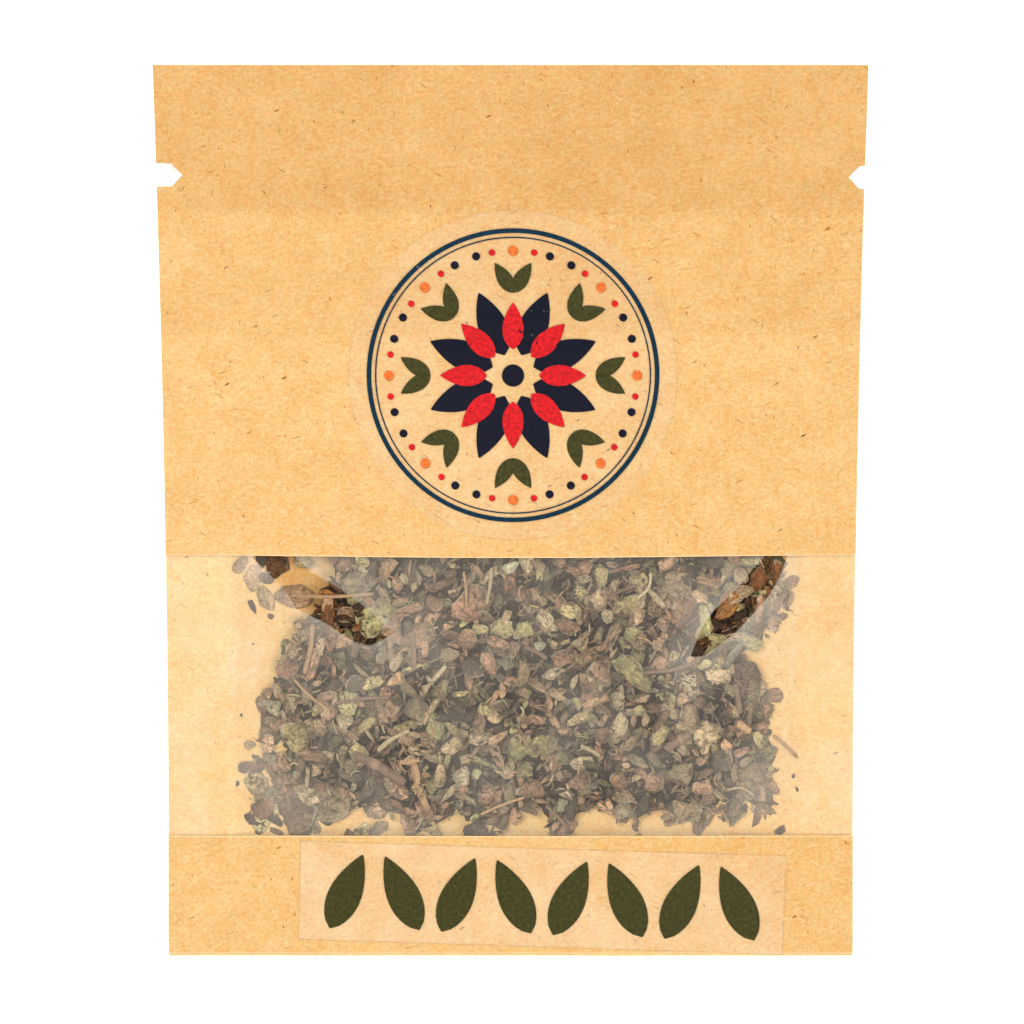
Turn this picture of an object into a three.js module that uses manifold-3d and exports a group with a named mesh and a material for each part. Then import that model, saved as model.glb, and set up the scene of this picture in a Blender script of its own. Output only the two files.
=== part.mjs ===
// A flat kraft-paper window sachet filled with dried marjoram, lying on its back.
// Millimetres, +Z up. X runs across the sachet, +Y points to its torn-open end.
// The origin is the centre of the footprint, on the surface that the sachet lies on.

import * as THREE from "three";
import { mergeVertices } from "three/addons/utils/BufferGeometryUtils.js";
import Module from "manifold-3d";

const wasm = await Module();
wasm.setup();
const { clamp, lerp, smoothstep } = THREE.MathUtils;

// ---------------------------------------------------------------- driving dimensions

const WIDTH = 70;
const LENGTH = 90;
const SIDE_DRAW_IN = 0.43; // each side edge is pulled in by the filling, half way up
const FRONT_SHORTER = 0.35; // the back panel shows past the front at the bottom edge

const BACK_THICK = 0.2; // kraft laminate
const FILM_THICK = 0.12;
const KRAFT_THICK = 0.15; // each front strip of kraft
const STICKER_THICK = 0.1;

const SEAL_LEFT = 6.3; // seal widths, from the sachet's edges
const SEAL_RIGHT = 4.9;
const SEAL_BOTTOM = 5;
const SEAL_TOP = 9;

const WINDOW_BOTTOM = -32.3; // heights along Y
const WINDOW_TOP = -3.5;

const GAP_MAX = 3.4; // widest gap between the panels, at the belly
const GAP_FULLNESS = 2.3; // the higher, the flatter the belly and the steeper its sides
const GAP_FLAT = 3; // where the gap is wider than this the back lies flat
const SEAL_LIFT = 1.7; // height of the seals above the surface
const LIFT_EASE = 1.4; // how softly the back settles on the surface
const BELLY_RISE = 21; // the belly reaches its full gap this far above the bottom seal
const BELLY_TOP = -2; // and starts to thin out here

const ZIP_BOTTOM = 18.3; // press-to-close strip
const ZIP_TOP = 25.4;
const ZIP_MARGIN = 0.8; // flat stretch of panel past the strip
const ZIP_GAP = 1.5;
const ZIP_END_RAMP = 2; // the panels close from the strip's ends to the side seals
const ZIP_FLANGE = 0.25;
const ZIP_GROOVE = { half: 0.95, wall: 0.3, height: 1, lip: 0.5, lipThick: 0.15 };
const ZIP_RIB = { stem: 0.2, head: 0.65, shoulder: 0.66, widest: 0.6, tip: 0.44 };

const NOTCH_HEIGHT = 2.2;
const NOTCHES = [
  { side: -1, y: 34.3, shoulder: 1.5, depth: 2.56 },
  { side: 1, y: 34.06, shoulder: 0.5, depth: 1.6 },
];

const ROUND_STICKER = { x: 0.24, y: 14.6, radius: 16.3, sides: 48 };
const NAME_STICKER = { x: 3.2, y: -38.75, width: 49.5, height: 10.4, turn: -0.032 };

const CLEARANCE = 0.18; // between the filling and the panels
const CORE_COVER = 1.05; // depth of loose flakes over the packed core of the filling
const CORE_RINGS = [1, 0.9, 0.68, 0.36]; // of the way from the heap's centre to its edge
const CORE_EDGE = 0.2; // thickness of the core at the heap's thin edge
const CORE_GRIP = 0.1; // depth that packed flakes sink into the core
const FLAKE_THICK = 0.66;
const FLAKE_ROOM = 1; // flakes stay where the gap between the panels is at least this
const FLAKE_PITCH = 2.9;
const FLAKE_NUDGE = 0.7; // of the pitch
const FLAKE_INSET = 0.05; // of the way from a corner to the flake's middle
const FLAKE_SLOPE = 0.42; // steepest tip of a packed flake
const FLAKE_DOME = 0.08;
const FLAKE_DEPTH = [0.15, 0.9]; // depth of the packed flakes' middles under the film
const FLAKE_ROWS = 9; // each way from the heap's centre
const FLAKE_COLUMNS = 10;
const FLOOR_STEP = 0.06; // height of the lowest flakes over the core's underside
const STREWN_COUNT = 44;
const STREWN_REACH = [27, 21]; // each way from the heap's centre
const STREWN_RADIUS = [1.1, 1.8];
const STREWN_STRETCH = [1, 1.35];
const STREWN_CHIP = [0.78, 1.1]; // of the radius, at each corner
const STREWN_TILT = [-0.28, 0.28];
const STREWN_CURL = [0, 0.16];
const FLAKE_SIDES = 5;
const FLAKE_SEED = 1951;
const ROW_SEED = 613; // apart, from row to row of packed flakes

// The heap's edge, seen from above, filled in by a closed curve. The heap of thick flakes
// stops short of it where the panels come close together.
const HEAP_EDGE = [
  [-25.6, -3.5], [-23.4, -6.6], [-20.8, -9.6], [-21, -13.6], [-23.8, -17], [-26.4, -22],
  [-26, -28], [-22, -31.4], [-14, -32.2], [-6, -31.6], [2, -32.2], [9, -31], [17, -31.2],
  [24.5, -31], [27, -26.5], [26.4, -20], [24.4, -15], [25, -10.5], [27.4, -6], [27, -1],
  [21.5, 6.5], [10, 9.6], [-3, 8.8], [-15, 9.4], [-23.5, 5.5],
];
const HEAP_CENTRE = [0.6, -11.5];
const HEAP_SIDES = 39;

// Bits of stem that lie on the heap, against the film: both ends, thickness and form.
const TWIGS = [
  { from: [-19.9, -10.6], to: [-20.8, -15.5], thick: 0.5 },
  { from: [-21.8, -7.4], to: [-13.7, -7.3], thick: 0.5, knot: 0.75 },
  { from: [-15.9, -23.7], to: [-10.8, -26.9], thick: 1.05, collar: 0.4 },
  { from: [-9.9, -24.2], to: [-8.3, -30.4], thick: 0.8, knot: 1 },
  { from: [-13.4, -23.4], to: [-10.2, -21.3], thick: 0.55 },
  { from: [13.4, -15.3], to: [19.1, -14.1], thick: 0.45 },
  { from: [7.3, -18.7], to: [9.9, -17.7], thick: 0.85, knot: 1.05 },
  { from: [7.1, -22.8], to: [9, -23.9], thick: 0.45 },
  { from: [15.7, -23.3], to: [18.2, -21.7], thick: 1 },
  { from: [22.9, -20.6], to: [24.2, -21.6], thick: 0.85 },
  { from: [-12.5, -11.9], to: [-10, -12.2], thick: 0.95 },
  { from: [-7.8, -16.1], to: [-6.5, -14.6], thick: 0.45 },
];
const TWIG_SIDES = 5;
const TWIG_ROOM = 0.3; // clear space round each twig
const COLLAR_STEP = 0.12;

// Flakes that lie on the back panel, away from the heap.
const LOOSE_FLAKES = [
  { at: [-24.1, -9.9], radius: 0.95, stretch: 1.6, spin: 1.4 },
  { at: [-24.1, -13], radius: 0.6, stretch: 1.4, spin: 2 },
];

// ---------------------------------------------------------------- shape of the pouch

const POCKET_LEFT = -WIDTH / 2 + SEAL_LEFT;
const POCKET_RIGHT = WIDTH / 2 - SEAL_RIGHT;
const POCKET_BOTTOM = -LENGTH / 2 + SEAL_BOTTOM;
const POCKET_TOP = LENGTH / 2 - SEAL_TOP;
const POCKET_MIDDLE = (POCKET_LEFT + POCKET_RIGHT) / 2;
const POCKET_HALF = (POCKET_RIGHT - POCKET_LEFT) / 2;
const ZIP_FLAT_BOTTOM = ZIP_BOTTOM - ZIP_MARGIN;
const ZIP_FLAT_TOP = ZIP_TOP + ZIP_MARGIN;

// Gap of the belly at x: full in the middle, none at the side seals.
function bellyGap(x, y) {
  const side = Math.min(1, Math.abs((x - POCKET_MIDDLE) / POCKET_HALF));
  const across = 1 - Math.pow(side, GAP_FULLNESS);
  return GAP_MAX * across * smoothstep(y, POCKET_BOTTOM, POCKET_BOTTOM + BELLY_RISE);
}

// Gap over the press-to-close strip: level, closing quickly at the strip's ends.
function zipGap(x, y) {
  const fromSeal = Math.min(x - POCKET_LEFT, POCKET_RIGHT - x);
  const closing = 1 - smoothstep(y, ZIP_FLAT_TOP, POCKET_TOP);
  return ZIP_GAP * clamp(fromSeal / ZIP_END_RAMP, 0, 1) * closing;
}

// How much narrower the sachet is at y than at its ends.
function narrowing(y) {
  const drawIn = SIDE_DRAW_IN * (1 - (y / (LENGTH / 2)) ** 2);
  return 1 - drawIn / (WIDTH / 2);
}

function pocketGap(x, y) {
  const column = x / narrowing(y);
  if (column <= POCKET_LEFT || column >= POCKET_RIGHT) return 0;
  if (y <= POCKET_BOTTOM || y >= POCKET_TOP) return 0;
  return lerp(bellyGap(column, y), zipGap(column, y), smoothstep(y, BELLY_TOP, ZIP_FLAT_BOTTOM));
}

function backOuter(x, y) {
  const filled = clamp(pocketGap(x, y) / GAP_FLAT, 0, 1);
  return SEAL_LIFT * Math.pow(1 - filled, LIFT_EASE);
}

const backInner = (x, y) => backOuter(x, y) + BACK_THICK;
const filmInner = (x, y) => backInner(x, y) + pocketGap(x, y);
const filmOuter = (x, y) => filmInner(x, y) + FILM_THICK;
const kraftOuter = (x, y) => filmOuter(x, y) + KRAFT_THICK;
const stickerOuter = (x, y) => kraftOuter(x, y) + STICKER_THICK;

// One grid for every panel, so that panels that touch share their corners.
const BACK_BOTTOM = -LENGTH / 2;
const FRONT_BOTTOM = BACK_BOTTOM + FRONT_SHORTER;
const TOP = LENGTH / 2;
const COLUMNS = [
  -WIDTH / 2, POCKET_LEFT, POCKET_LEFT + 0.9, POCKET_LEFT + ZIP_END_RAMP, -22.5, -17.5, -12,
  -6, 0.6, 7, 13, 18.5, 23.5, POCKET_RIGHT - ZIP_END_RAMP, POCKET_RIGHT - 0.9, POCKET_RIGHT,
  WIDTH / 2,
];
const LOWER_ROWS = [POCKET_BOTTOM, -38, -35.5, WINDOW_BOTTOM];
const WINDOW_ROWS = [-28.5, -24, -19, -13.5, -8.5];
const UPPER_ROWS = [
  WINDOW_TOP, 0.5, 4.5, 8.5, 12.5, ZIP_FLAT_BOTTOM, ZIP_FLAT_TOP, 29, 32.5, POCKET_TOP, TOP,
];

// ---------------------------------------------------------------- mesh helpers

const MERGE_DISTANCE = 0.001; // corners closer than this are one corner
const PRISM_RISE = [-5, 20]; // foot and height of the prisms that cut panels

// A closed solid over one flat net of triangles, which wind to the left from above. Its two
// surfaces are split alike, and walls join them along the net's open edges.
function slabGeometry({ points, faces }, lower, upper) {
  const layer = points.length;
  const at = (surface) => points.map(([x, y, z]) => [x, y, surface(x, y, z)]);
  const sides = new Set(faces.flatMap(([a, b, c]) => [`${a},${b}`, `${b},${c}`, `${c},${a}`]));
  const triangles = faces.flatMap(([a, b, c]) => [[a, c, b], [a + layer, b + layer, c + layer]]);
  for (const side of sides) {
    const [a, b] = side.split(",").map(Number);
    if (!sides.has(`${b},${a}`)) triangles.push([a, b, b + layer], [a, b + layer, a + layer]);
  }
  const geometry = new THREE.BufferGeometry();
  const positions = [...at(lower), ...at(upper)].flat();
  geometry.setAttribute("position", new THREE.Float32BufferAttribute(positions, 3));
  geometry.setIndex(triangles.flat());
  return geometry;
}

function solidOf(geometry) {
  const bare = geometry.clone();
  bare.deleteAttribute("normal");
  bare.deleteAttribute("uv");
  const merged = mergeVertices(bare, MERGE_DISTANCE);
  return new wasm.Manifold(new wasm.Mesh({
    numProp: 3,
    vertProperties: new Float32Array(merged.attributes.position.array),
    triVerts: new Uint32Array(merged.index.array),
  }));
}

function geometryFrom(solid) {
  const mesh = solid.getMesh();
  const geometry = new THREE.BufferGeometry();
  geometry.setAttribute("position", new THREE.BufferAttribute(mesh.vertProperties, 3));
  geometry.setIndex(new THREE.BufferAttribute(mesh.triVerts, 1));
  return geometry;
}

// The largest body of a solid: what was cut loose from it is dropped.
function withoutScraps(solid) {
  return solid.decompose().reduce((a, b) => (b.volume() > a.volume() ? b : a));
}

// A panel between two surfaces, over the grid's columns and the given rows.
function panelGeometry(lower, upper, rows) {
  const across = COLUMNS.length;
  const points = rows.flatMap((y) => COLUMNS.map((column) => [column * narrowing(y), y]));
  const faces = [];
  for (let row = 0; row < rows.length - 1; row += 1) {
    for (let column = 0; column < across - 1; column += 1) {
      const a = row * across + column;
      faces.push([a, a + 1, a + across + 1], [a, a + across + 1, a + across]);
    }
  }
  return slabGeometry({ points, faces }, lower, upper);
}

// An upright prism of a flat outline, tall enough to pass through every panel.
function prism(shape, curveSegments = 12) {
  const [foot, depth] = PRISM_RISE;
  const geometry = new THREE.ExtrudeGeometry(shape, { depth, bevelEnabled: false, curveSegments });
  return solidOf(geometry.translate(0, 0, foot));
}

// ---------------------------------------------------------------- panels and stickers

function tearNotch({ side, y, shoulder, depth }) {
  const edge = side * (WIDTH / 2) * narrowing(y);
  const reach = (distance) => edge - side * distance;
  const half = NOTCH_HEIGHT / 2;
  const corners = [
    [reach(-1), y - half], [reach(shoulder), y - half], [reach(depth), y],
    [reach(shoulder), y + half], [reach(-1), y + half],
  ];
  return prism(new THREE.Shape(corners.map(([px, py]) => new THREE.Vector2(px, py))));
}

function notched(geometry) {
  let solid = solidOf(geometry);
  for (const notch of NOTCHES) solid = solid.subtract(tearNotch(notch));
  return geometryFrom(solid);
}

function roundStickerGeometry() {
  const outline = new THREE.Shape();
  outline.absarc(ROUND_STICKER.x, ROUND_STICKER.y, ROUND_STICKER.radius, 0, 2 * Math.PI);
  const sheet = solidOf(panelGeometry(kraftOuter, stickerOuter, UPPER_ROWS));
  return geometryFrom(sheet.intersect(prism(outline, ROUND_STICKER.sides)));
}

function nameStickerGeometry() {
  const { x, y, width, height, turn } = NAME_STICKER;
  const middle = new THREE.Vector2(x, y);
  const corners = [[-1, -1], [1, -1], [1, 1], [-1, 1]].map(([sx, sy]) => (
    new THREE.Vector2(x + sx * width / 2, y + sy * height / 2).rotateAround(middle, turn)
  ));
  const sheet = solidOf(panelGeometry(kraftOuter, stickerOuter, [FRONT_BOTTOM, ...LOWER_ROWS]));
  return geometryFrom(sheet.intersect(prism(new THREE.Shape(corners))));
}

// ---------------------------------------------------------------- press-to-close strip

// Extrudes a section in Y and Z, given from the strip's middle line, along X.
function zipStripGeometry(section) {
  const middle = (ZIP_BOTTOM + ZIP_TOP) / 2;
  const floor = backInner(POCKET_MIDDLE, middle);
  const shape = new THREE.Shape(section.map(([y, z]) => new THREE.Vector2(y, z)));
  const length = POCKET_RIGHT - POCKET_LEFT - 2 * (ZIP_END_RAMP + ZIP_MARGIN);
  const geometry = new THREE.ExtrudeGeometry(shape, { depth: length, bevelEnabled: false });
  geometry.applyMatrix4(new THREE.Matrix4().makeBasis(
    new THREE.Vector3(0, 1, 0), new THREE.Vector3(0, 0, 1), new THREE.Vector3(1, 0, 0),
  ));
  return geometry.translate(POCKET_MIDDLE - length / 2, middle, floor);
}

function grooveStripGeometry() {
  const flange = (ZIP_TOP - ZIP_BOTTOM) / 2;
  const { half: inner, wall, height, lip, lipThick } = ZIP_GROOVE;
  const right = [
    [flange, 0], [flange, ZIP_FLANGE], [inner + wall, ZIP_FLANGE], [inner + wall, height],
    [lip, height], [lip, height - lipThick], [inner, height - lipThick], [inner, ZIP_FLANGE],
  ];
  const left = right.map(([y, z]) => [-y, z]).reverse();
  return zipStripGeometry([...right, ...left]);
}

function ribStripGeometry() {
  const flange = (ZIP_TOP - ZIP_BOTTOM) / 2;
  const under = ZIP_GAP - ZIP_FLANGE;
  const { stem, head, shoulder, widest, tip } = ZIP_RIB;
  const right = [
    [stem, tip], [head, widest], [stem, shoulder], [stem, under], [flange, under],
    [flange, ZIP_GAP],
  ];
  const left = right.map(([y, z]) => [-y, z]).reverse();
  return zipStripGeometry([...right, ...left]);
}

// ---------------------------------------------------------------- filling

// Repeatable random numbers from 0 to 1.
function randomFrom(seed) {
  let state = seed;
  return () => {
    state = (state + 0x6d2b79f5) | 0;
    let mixed = Math.imul(state ^ (state >>> 15), 1 | state);
    mixed = (mixed + Math.imul(mixed ^ (mixed >>> 7), 61 | mixed)) ^ mixed;
    return ((mixed ^ (mixed >>> 14)) >>> 0) / 4294967296;
  };
}

// Draws a point in towards another until the panels leave room for a flake there.
function drawnIn(point, towards) {
  while (pocketGap(point.x, point.y) < FLAKE_ROOM) point.lerp(towards, 0.04);
  return point;
}

const heapCurve = new THREE.CatmullRomCurve3(
  HEAP_EDGE.map(([x, y]) => new THREE.Vector3(x, y, 0)), true, "centripetal",
);
const heapCentre = new THREE.Vector3(...HEAP_CENTRE, 0);
const heapOutline = heapCurve.getSpacedPoints(HEAP_SIDES).slice(1).map((p) => drawnIn(p, heapCentre));

function insideHeap(x, y) {
  let inside = false;
  heapOutline.forEach((a, i) => {
    const b = heapOutline[(i + 1) % heapOutline.length];
    const crosses = (a.y > y) !== (b.y > y);
    if (crosses && x < ((b.x - a.x) * (y - a.y)) / (b.y - a.y) + a.x) inside = !inside;
  });
  return inside;
}

const heapFloor = (x, y) => backInner(x, y) + CLEARANCE;
const coreTop = (x, y) => Math.max(heapFloor(x, y) + CORE_EDGE, filmInner(x, y) - CORE_COVER);

// The packed core: rings drawn in from the heap's edge.
function heapCoreGeometry() {
  const around = heapOutline.length;
  const points = CORE_RINGS.flatMap((ring) => (
    heapOutline.map((edge) => edge.clone().lerp(heapCentre, 1 - ring).toArray())
  ));
  const middle = points.push(heapCentre.toArray()) - 1;
  const faces = [];
  for (let i = 0; i < around; i += 1) {
    const next = (i + 1) % around;
    for (let ring = 0; ring < CORE_RINGS.length - 1; ring += 1) {
      const [a, b] = [ring * around + i, ring * around + next];
      faces.push([a, b, b + around], [a, b + around, a + around]);
    }
    faces.push([middle - around + i, middle - around + next, middle]);
  }
  return slabGeometry({ points, faces }, heapFloor, coreTop);
}

// Height of a flake's top: over its own thickness, and under the film.
const flakeTop = (x, y, z) => (
  Math.min(Math.max(z, heapFloor(x, y) + FLAKE_THICK), filmInner(x, y) - CLEARANCE)
);

// A single flake: a fan of facets round its middle, alike on its top and underside.
function flakeGeometry(middle, rim) {
  const points = [middle, ...rim].map((point) => point.toArray());
  const faces = rim.map((_, i) => [0, i + 1, ((i + 1) % rim.length) + 1]);
  const under = (x, y, z) => (
    Math.max(flakeTop(x, y, z) - FLAKE_THICK, heapFloor(x, y) + FLOOR_STEP)
  );
  return slabGeometry({ points, faces }, under, flakeTop);
}

// Middle of the packed flake in a row and column of a staggered grid, nudged at random.
function packedMiddle([column, row]) {
  const random = randomFrom(FLAKE_SEED + ROW_SEED * row + column);
  const nudge = () => (random() - 0.5) * FLAKE_NUDGE * FLAKE_PITCH;
  const across = (column + (row & 1) / 2) * FLAKE_PITCH + nudge();
  const up = row * Math.sqrt(0.75) * FLAKE_PITCH + nudge();
  return new THREE.Vector3(across, up, 0).add(heapCentre);
}

// The six neighbours of a cell of the staggered grid, to the left all round from +X.
function neighbours([column, row]) {
  const odd = row & 1;
  return [[1, 0], [odd, 1], [odd - 1, 1], [-1, 0], [odd - 1, -1], [odd, -1]]
    .map(([across, up]) => [column + across, row + up]);
}

// Packed flakes side by side, each tipped its own way and at its own height, with steep steps
// between them. A cell's middle is followed by its six corners, and corner i lies between
// neighbours i and i + 1.
function packedFlakesGeometry() {
  const random = randomFrom(FLAKE_SEED);
  const between = (low, high) => low + (high - low) * random();
  const points = [];
  const faces = [];
  const first = new Map();
  for (let row = -FLAKE_ROWS; row <= FLAKE_ROWS; row += 1) {
    for (let column = -FLAKE_COLUMNS; column <= FLAKE_COLUMNS; column += 1) {
      const [slope, towards] = [between(0, FLAKE_SLOPE), between(0, 2 * Math.PI)];
      const depth = between(...FLAKE_DEPTH);
      const middle = packedMiddle([column, row]);
      if (!insideHeap(middle.x, middle.y)) continue;
      middle.z = filmInner(middle.x, middle.y) - CLEARANCE - depth;
      first.set(`${[column, row]}`, points.length);
      points.push(middle.toArray());
      const around = neighbours([column, row]).map(packedMiddle);
      for (let i = 0; i < 6; i += 1) {
        const flat = middle.clone().setZ(0);
        const corner = flat.clone().add(around[i]).add(around[(i + 1) % 6]).divideScalar(3);
        drawnIn(corner, heapCentre).lerp(flat, FLAKE_INSET);
        const [dx, dy] = [corner.x - middle.x, corner.y - middle.y];
        const rise = slope * (dx * Math.cos(towards) + dy * Math.sin(towards));
        points.push([corner.x, corner.y, middle.z + rise - FLAKE_DOME]);
      }
    }
  }
  for (const [key, base] of first) {
    const corner = (start, i) => start + 1 + (i % 6);
    const around = neighbours(key.split(",").map(Number)).map((cell) => first.get(`${cell}`));
    for (let i = 0; i < 6; i += 1) faces.push([base, corner(base, i), corner(base, i + 1)]);
    for (let i = 0; i < 3; i += 1) {
      const [here, beside] = [around[i], around[i + 1]];
      if (here === undefined) continue;
      const [a, b] = [corner(base, i + 5), corner(base, i)];
      const [c, d] = [corner(here, i + 3), corner(here, i + 2)];
      faces.push([b, a, c], [b, c, d]);
      if (i < 2 && beside !== undefined) faces.push([b, d, corner(beside, i + 4)]);
    }
  }
  const sunk = (x, y, z) => Math.max(
    Math.min(flakeTop(x, y, z) - FLAKE_THICK, coreTop(x, y) - CORE_GRIP), heapFloor(x, y) + FLOOR_STEP,
  );
  return slabGeometry({ points, faces }, sunk, flakeTop);
}

// Chipped flakes strewn over the packed ones, curled and pressed against the film.
function strewnFlakes() {
  const random = randomFrom(FLAKE_SEED + 1);
  const between = (low, high) => low + (high - low) * random();
  const flakes = [];
  while (flakes.length < STREWN_COUNT) {
    const [across, up] = STREWN_REACH.map((reach) => between(-reach, reach));
    const middle = new THREE.Vector3(across, up, 0).add(heapCentre);
    const [radius, stretch] = [between(...STREWN_RADIUS), between(...STREWN_STRETCH)];
    const rim = flakeRim(radius, stretch, between(0, Math.PI), () => between(...STREWN_CHIP));
    const [tilt, curl] = [between(...STREWN_TILT), between(...STREWN_CURL)];
    if (!insideHeap(middle.x, middle.y)) continue;
    middle.z = filmInner(middle.x, middle.y) - CLEARANCE;
    flakes.push(flakeGeometry(middle, rim.map(([dx, dy]) => (
      drawnIn(new THREE.Vector3(dx, dy, tilt * dx - curl * dx * dx).add(middle), middle)
    ))));
  }
  return flakes;
}

function flakeRim(radius, stretch, spin, chip) {
  return Array.from({ length: FLAKE_SIDES }, (_, i) => {
    const angle = (2 * Math.PI * i) / FLAKE_SIDES;
    const reach = radius * chip();
    const point = new THREE.Vector2(reach * stretch * Math.cos(angle), reach * Math.sin(angle));
    return point.rotateAround(new THREE.Vector2(), spin).toArray();
  });
}

// A twig lies under the film: a turned profile, laid along its line and bent to the film. It
// can be made larger all round by some extra.
function twigGeometry({ from, to, thick, knot = 0, collar = 0 }, extra = 0) {
  const start = new THREE.Vector2(...from);
  const end = new THREE.Vector2(...to);
  const along = end.clone().sub(start);
  const length = along.length();
  along.normalize();
  const radius = thick / 2 + extra;
  const endRadius = (knot || thick) / 2 + extra;
  const collarRadius = radius + COLLAR_STEP * Math.sign(collar);
  const profile = [
    [0, -extra], [radius * 0.8, -extra], [radius, length * 0.2],
    [collarRadius, length * (collar || 0.5)], [radius * 0.92, length * 0.72],
    [endRadius, length - endRadius * 0.7], [endRadius * 0.7, length + extra], [0, length + extra],
  ];
  const geometry = new THREE.LatheGeometry(
    profile.map(([r, l]) => new THREE.Vector2(r, l)), TWIG_SIDES,
  );
  const drop = CLEARANCE + Math.max(thick, knot) / 2;
  const position = geometry.attributes.position;
  for (let i = 0; i < position.count; i += 1) {
    const [side, run, up] = [position.getX(i), position.getY(i), position.getZ(i)];
    const onLine = start.clone().addScaledVector(along, clamp(run, 0, length));
    const x = start.x + along.x * run - along.y * side;
    const y = start.y + along.y * run + along.x * side;
    position.setXYZ(i, x, y, filmInner(onLine.x, onLine.y) - drop - up);
  }
  return geometry;
}

function heapGeometry() {
  const pieces = [heapCoreGeometry(), packedFlakesGeometry(), ...strewnFlakes()];
  let heap = wasm.Manifold.union(pieces.map(solidOf));
  for (const twig of TWIGS) heap = heap.subtract(solidOf(twigGeometry(twig, TWIG_ROOM)));
  return geometryFrom(withoutScraps(solidOf(geometryFrom(withoutScraps(heap)))));
}

function looseFlakeGeometry({ at: [x, y], radius, stretch, spin }) {
  const middle = new THREE.Vector3(x, y, heapFloor(x, y) + FLAKE_THICK + FLOOR_STEP);
  const rim = flakeRim(radius, stretch, spin, () => 1);
  return flakeGeometry(middle, rim.map(([dx, dy]) => new THREE.Vector3(dx, dy, 0).add(middle)));
}

// ---------------------------------------------------------------- the sachet

const material = (color, roughness, opacity = 1) => new THREE.MeshStandardMaterial({
  color, roughness, metalness: 0, opacity, transparent: opacity < 1,
});
const kraft = material(0xdca668, 0.85);
const film = material(0xf6f2ea, 0.15, 0.25);
const stickerFilm = material(0xf2e6cf, 0.3, 0.35);
const zipPlastic = material(0xe9e6df, 0.4);
const driedLeaf = material(0x77714f, 0.9);
const driedLeafBrown = material(0x7a5a48, 0.9);
const driedStem = material(0xa98258, 0.85);

const sachet = new THREE.Group();
function add(name, geometry, surface) {
  const mesh = new THREE.Mesh(geometry, surface);
  mesh.name = name;
  sachet.add(mesh);
}

const frontRows = [FRONT_BOTTOM, ...LOWER_ROWS, ...WINDOW_ROWS, ...UPPER_ROWS];
const backRows = [BACK_BOTTOM, ...LOWER_ROWS, ...WINDOW_ROWS, ...UPPER_ROWS];
add("back_panel", notched(panelGeometry(backOuter, backInner, backRows)), kraft);
add("front_film", notched(panelGeometry(filmInner, filmOuter, frontRows)), film);
add("front_kraft_upper", notched(panelGeometry(filmOuter, kraftOuter, UPPER_ROWS)), kraft);
add("front_kraft_lower", panelGeometry(filmOuter, kraftOuter, [FRONT_BOTTOM, ...LOWER_ROWS]), kraft);
add("round_sticker", roundStickerGeometry(), stickerFilm);
add("name_sticker", nameStickerGeometry(), stickerFilm);
add("zip_groove_strip", grooveStripGeometry(), zipPlastic);
add("zip_rib_strip", ribStripGeometry(), zipPlastic);
add("marjoram_heap", heapGeometry(), driedLeaf);
TWIGS.forEach((twig, i) => add(`twig_${String(i + 1).padStart(2, "0")}`, twigGeometry(twig), driedStem));
LOOSE_FLAKES.forEach((flake, i) => add(`loose_flake_${i + 1}`, looseFlakeGeometry(flake), driedLeafBrown));

export default sachet;
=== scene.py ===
import math

import bpy
import numpy as np
from bpy.props import FloatProperty, FloatVectorProperty, IntProperty, PointerProperty
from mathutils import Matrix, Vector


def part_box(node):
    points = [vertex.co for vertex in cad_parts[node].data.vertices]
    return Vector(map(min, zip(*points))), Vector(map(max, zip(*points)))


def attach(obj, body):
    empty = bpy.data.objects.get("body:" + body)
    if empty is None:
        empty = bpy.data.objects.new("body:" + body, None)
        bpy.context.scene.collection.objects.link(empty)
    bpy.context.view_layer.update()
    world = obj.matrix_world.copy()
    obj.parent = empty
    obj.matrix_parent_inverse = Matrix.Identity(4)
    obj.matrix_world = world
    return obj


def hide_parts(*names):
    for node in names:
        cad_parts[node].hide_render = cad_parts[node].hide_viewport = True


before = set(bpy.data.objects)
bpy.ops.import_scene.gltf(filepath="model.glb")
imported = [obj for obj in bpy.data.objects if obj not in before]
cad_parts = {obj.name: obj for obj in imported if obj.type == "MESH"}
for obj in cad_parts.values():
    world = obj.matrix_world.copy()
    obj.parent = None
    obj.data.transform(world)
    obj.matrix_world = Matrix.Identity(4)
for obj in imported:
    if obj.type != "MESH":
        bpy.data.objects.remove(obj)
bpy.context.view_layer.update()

bl_info = {
    "name": "Dried herb window sachet",
    "version": (1, 0, 0),
    "blender": (4, 5, 0),
    "location": "3D View > Sidebar > Sachet",
    "description": "A kraft-paper window sachet filled with dried marjoram",
    "category": "Object",
}

# X runs across the sachet and +Y to the end that is torn open. It lies on its back at Z = 0.
MM = 0.001
PANEL_LOW, PANEL_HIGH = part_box("back_panel")


# ---------------------------------------------------------------- sizes and colours

def length(name, text, millimetres):
    return FloatProperty(name=name, description=text, default=millimetres * MM,
                         min=0, unit="LENGTH", precision=5)


def amount(name, text, number):
    return IntProperty(name=name, description=text, default=number, min=0, max=4000)


def colour(name, text, code):
    """A colour property from a six-figure code of red, green and blue, as on a screen."""
    shares = [int(code[i:i + 2], 16) / 255 for i in (0, 2, 4)]
    linear = [s / 12.92 if s < 0.04045 else ((s + 0.055) / 1.055) ** 2.4 for s in shares]
    return FloatVectorProperty(name=name, description=text, default=linear, min=0, max=1,
                               size=3, subtype="COLOR")


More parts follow.
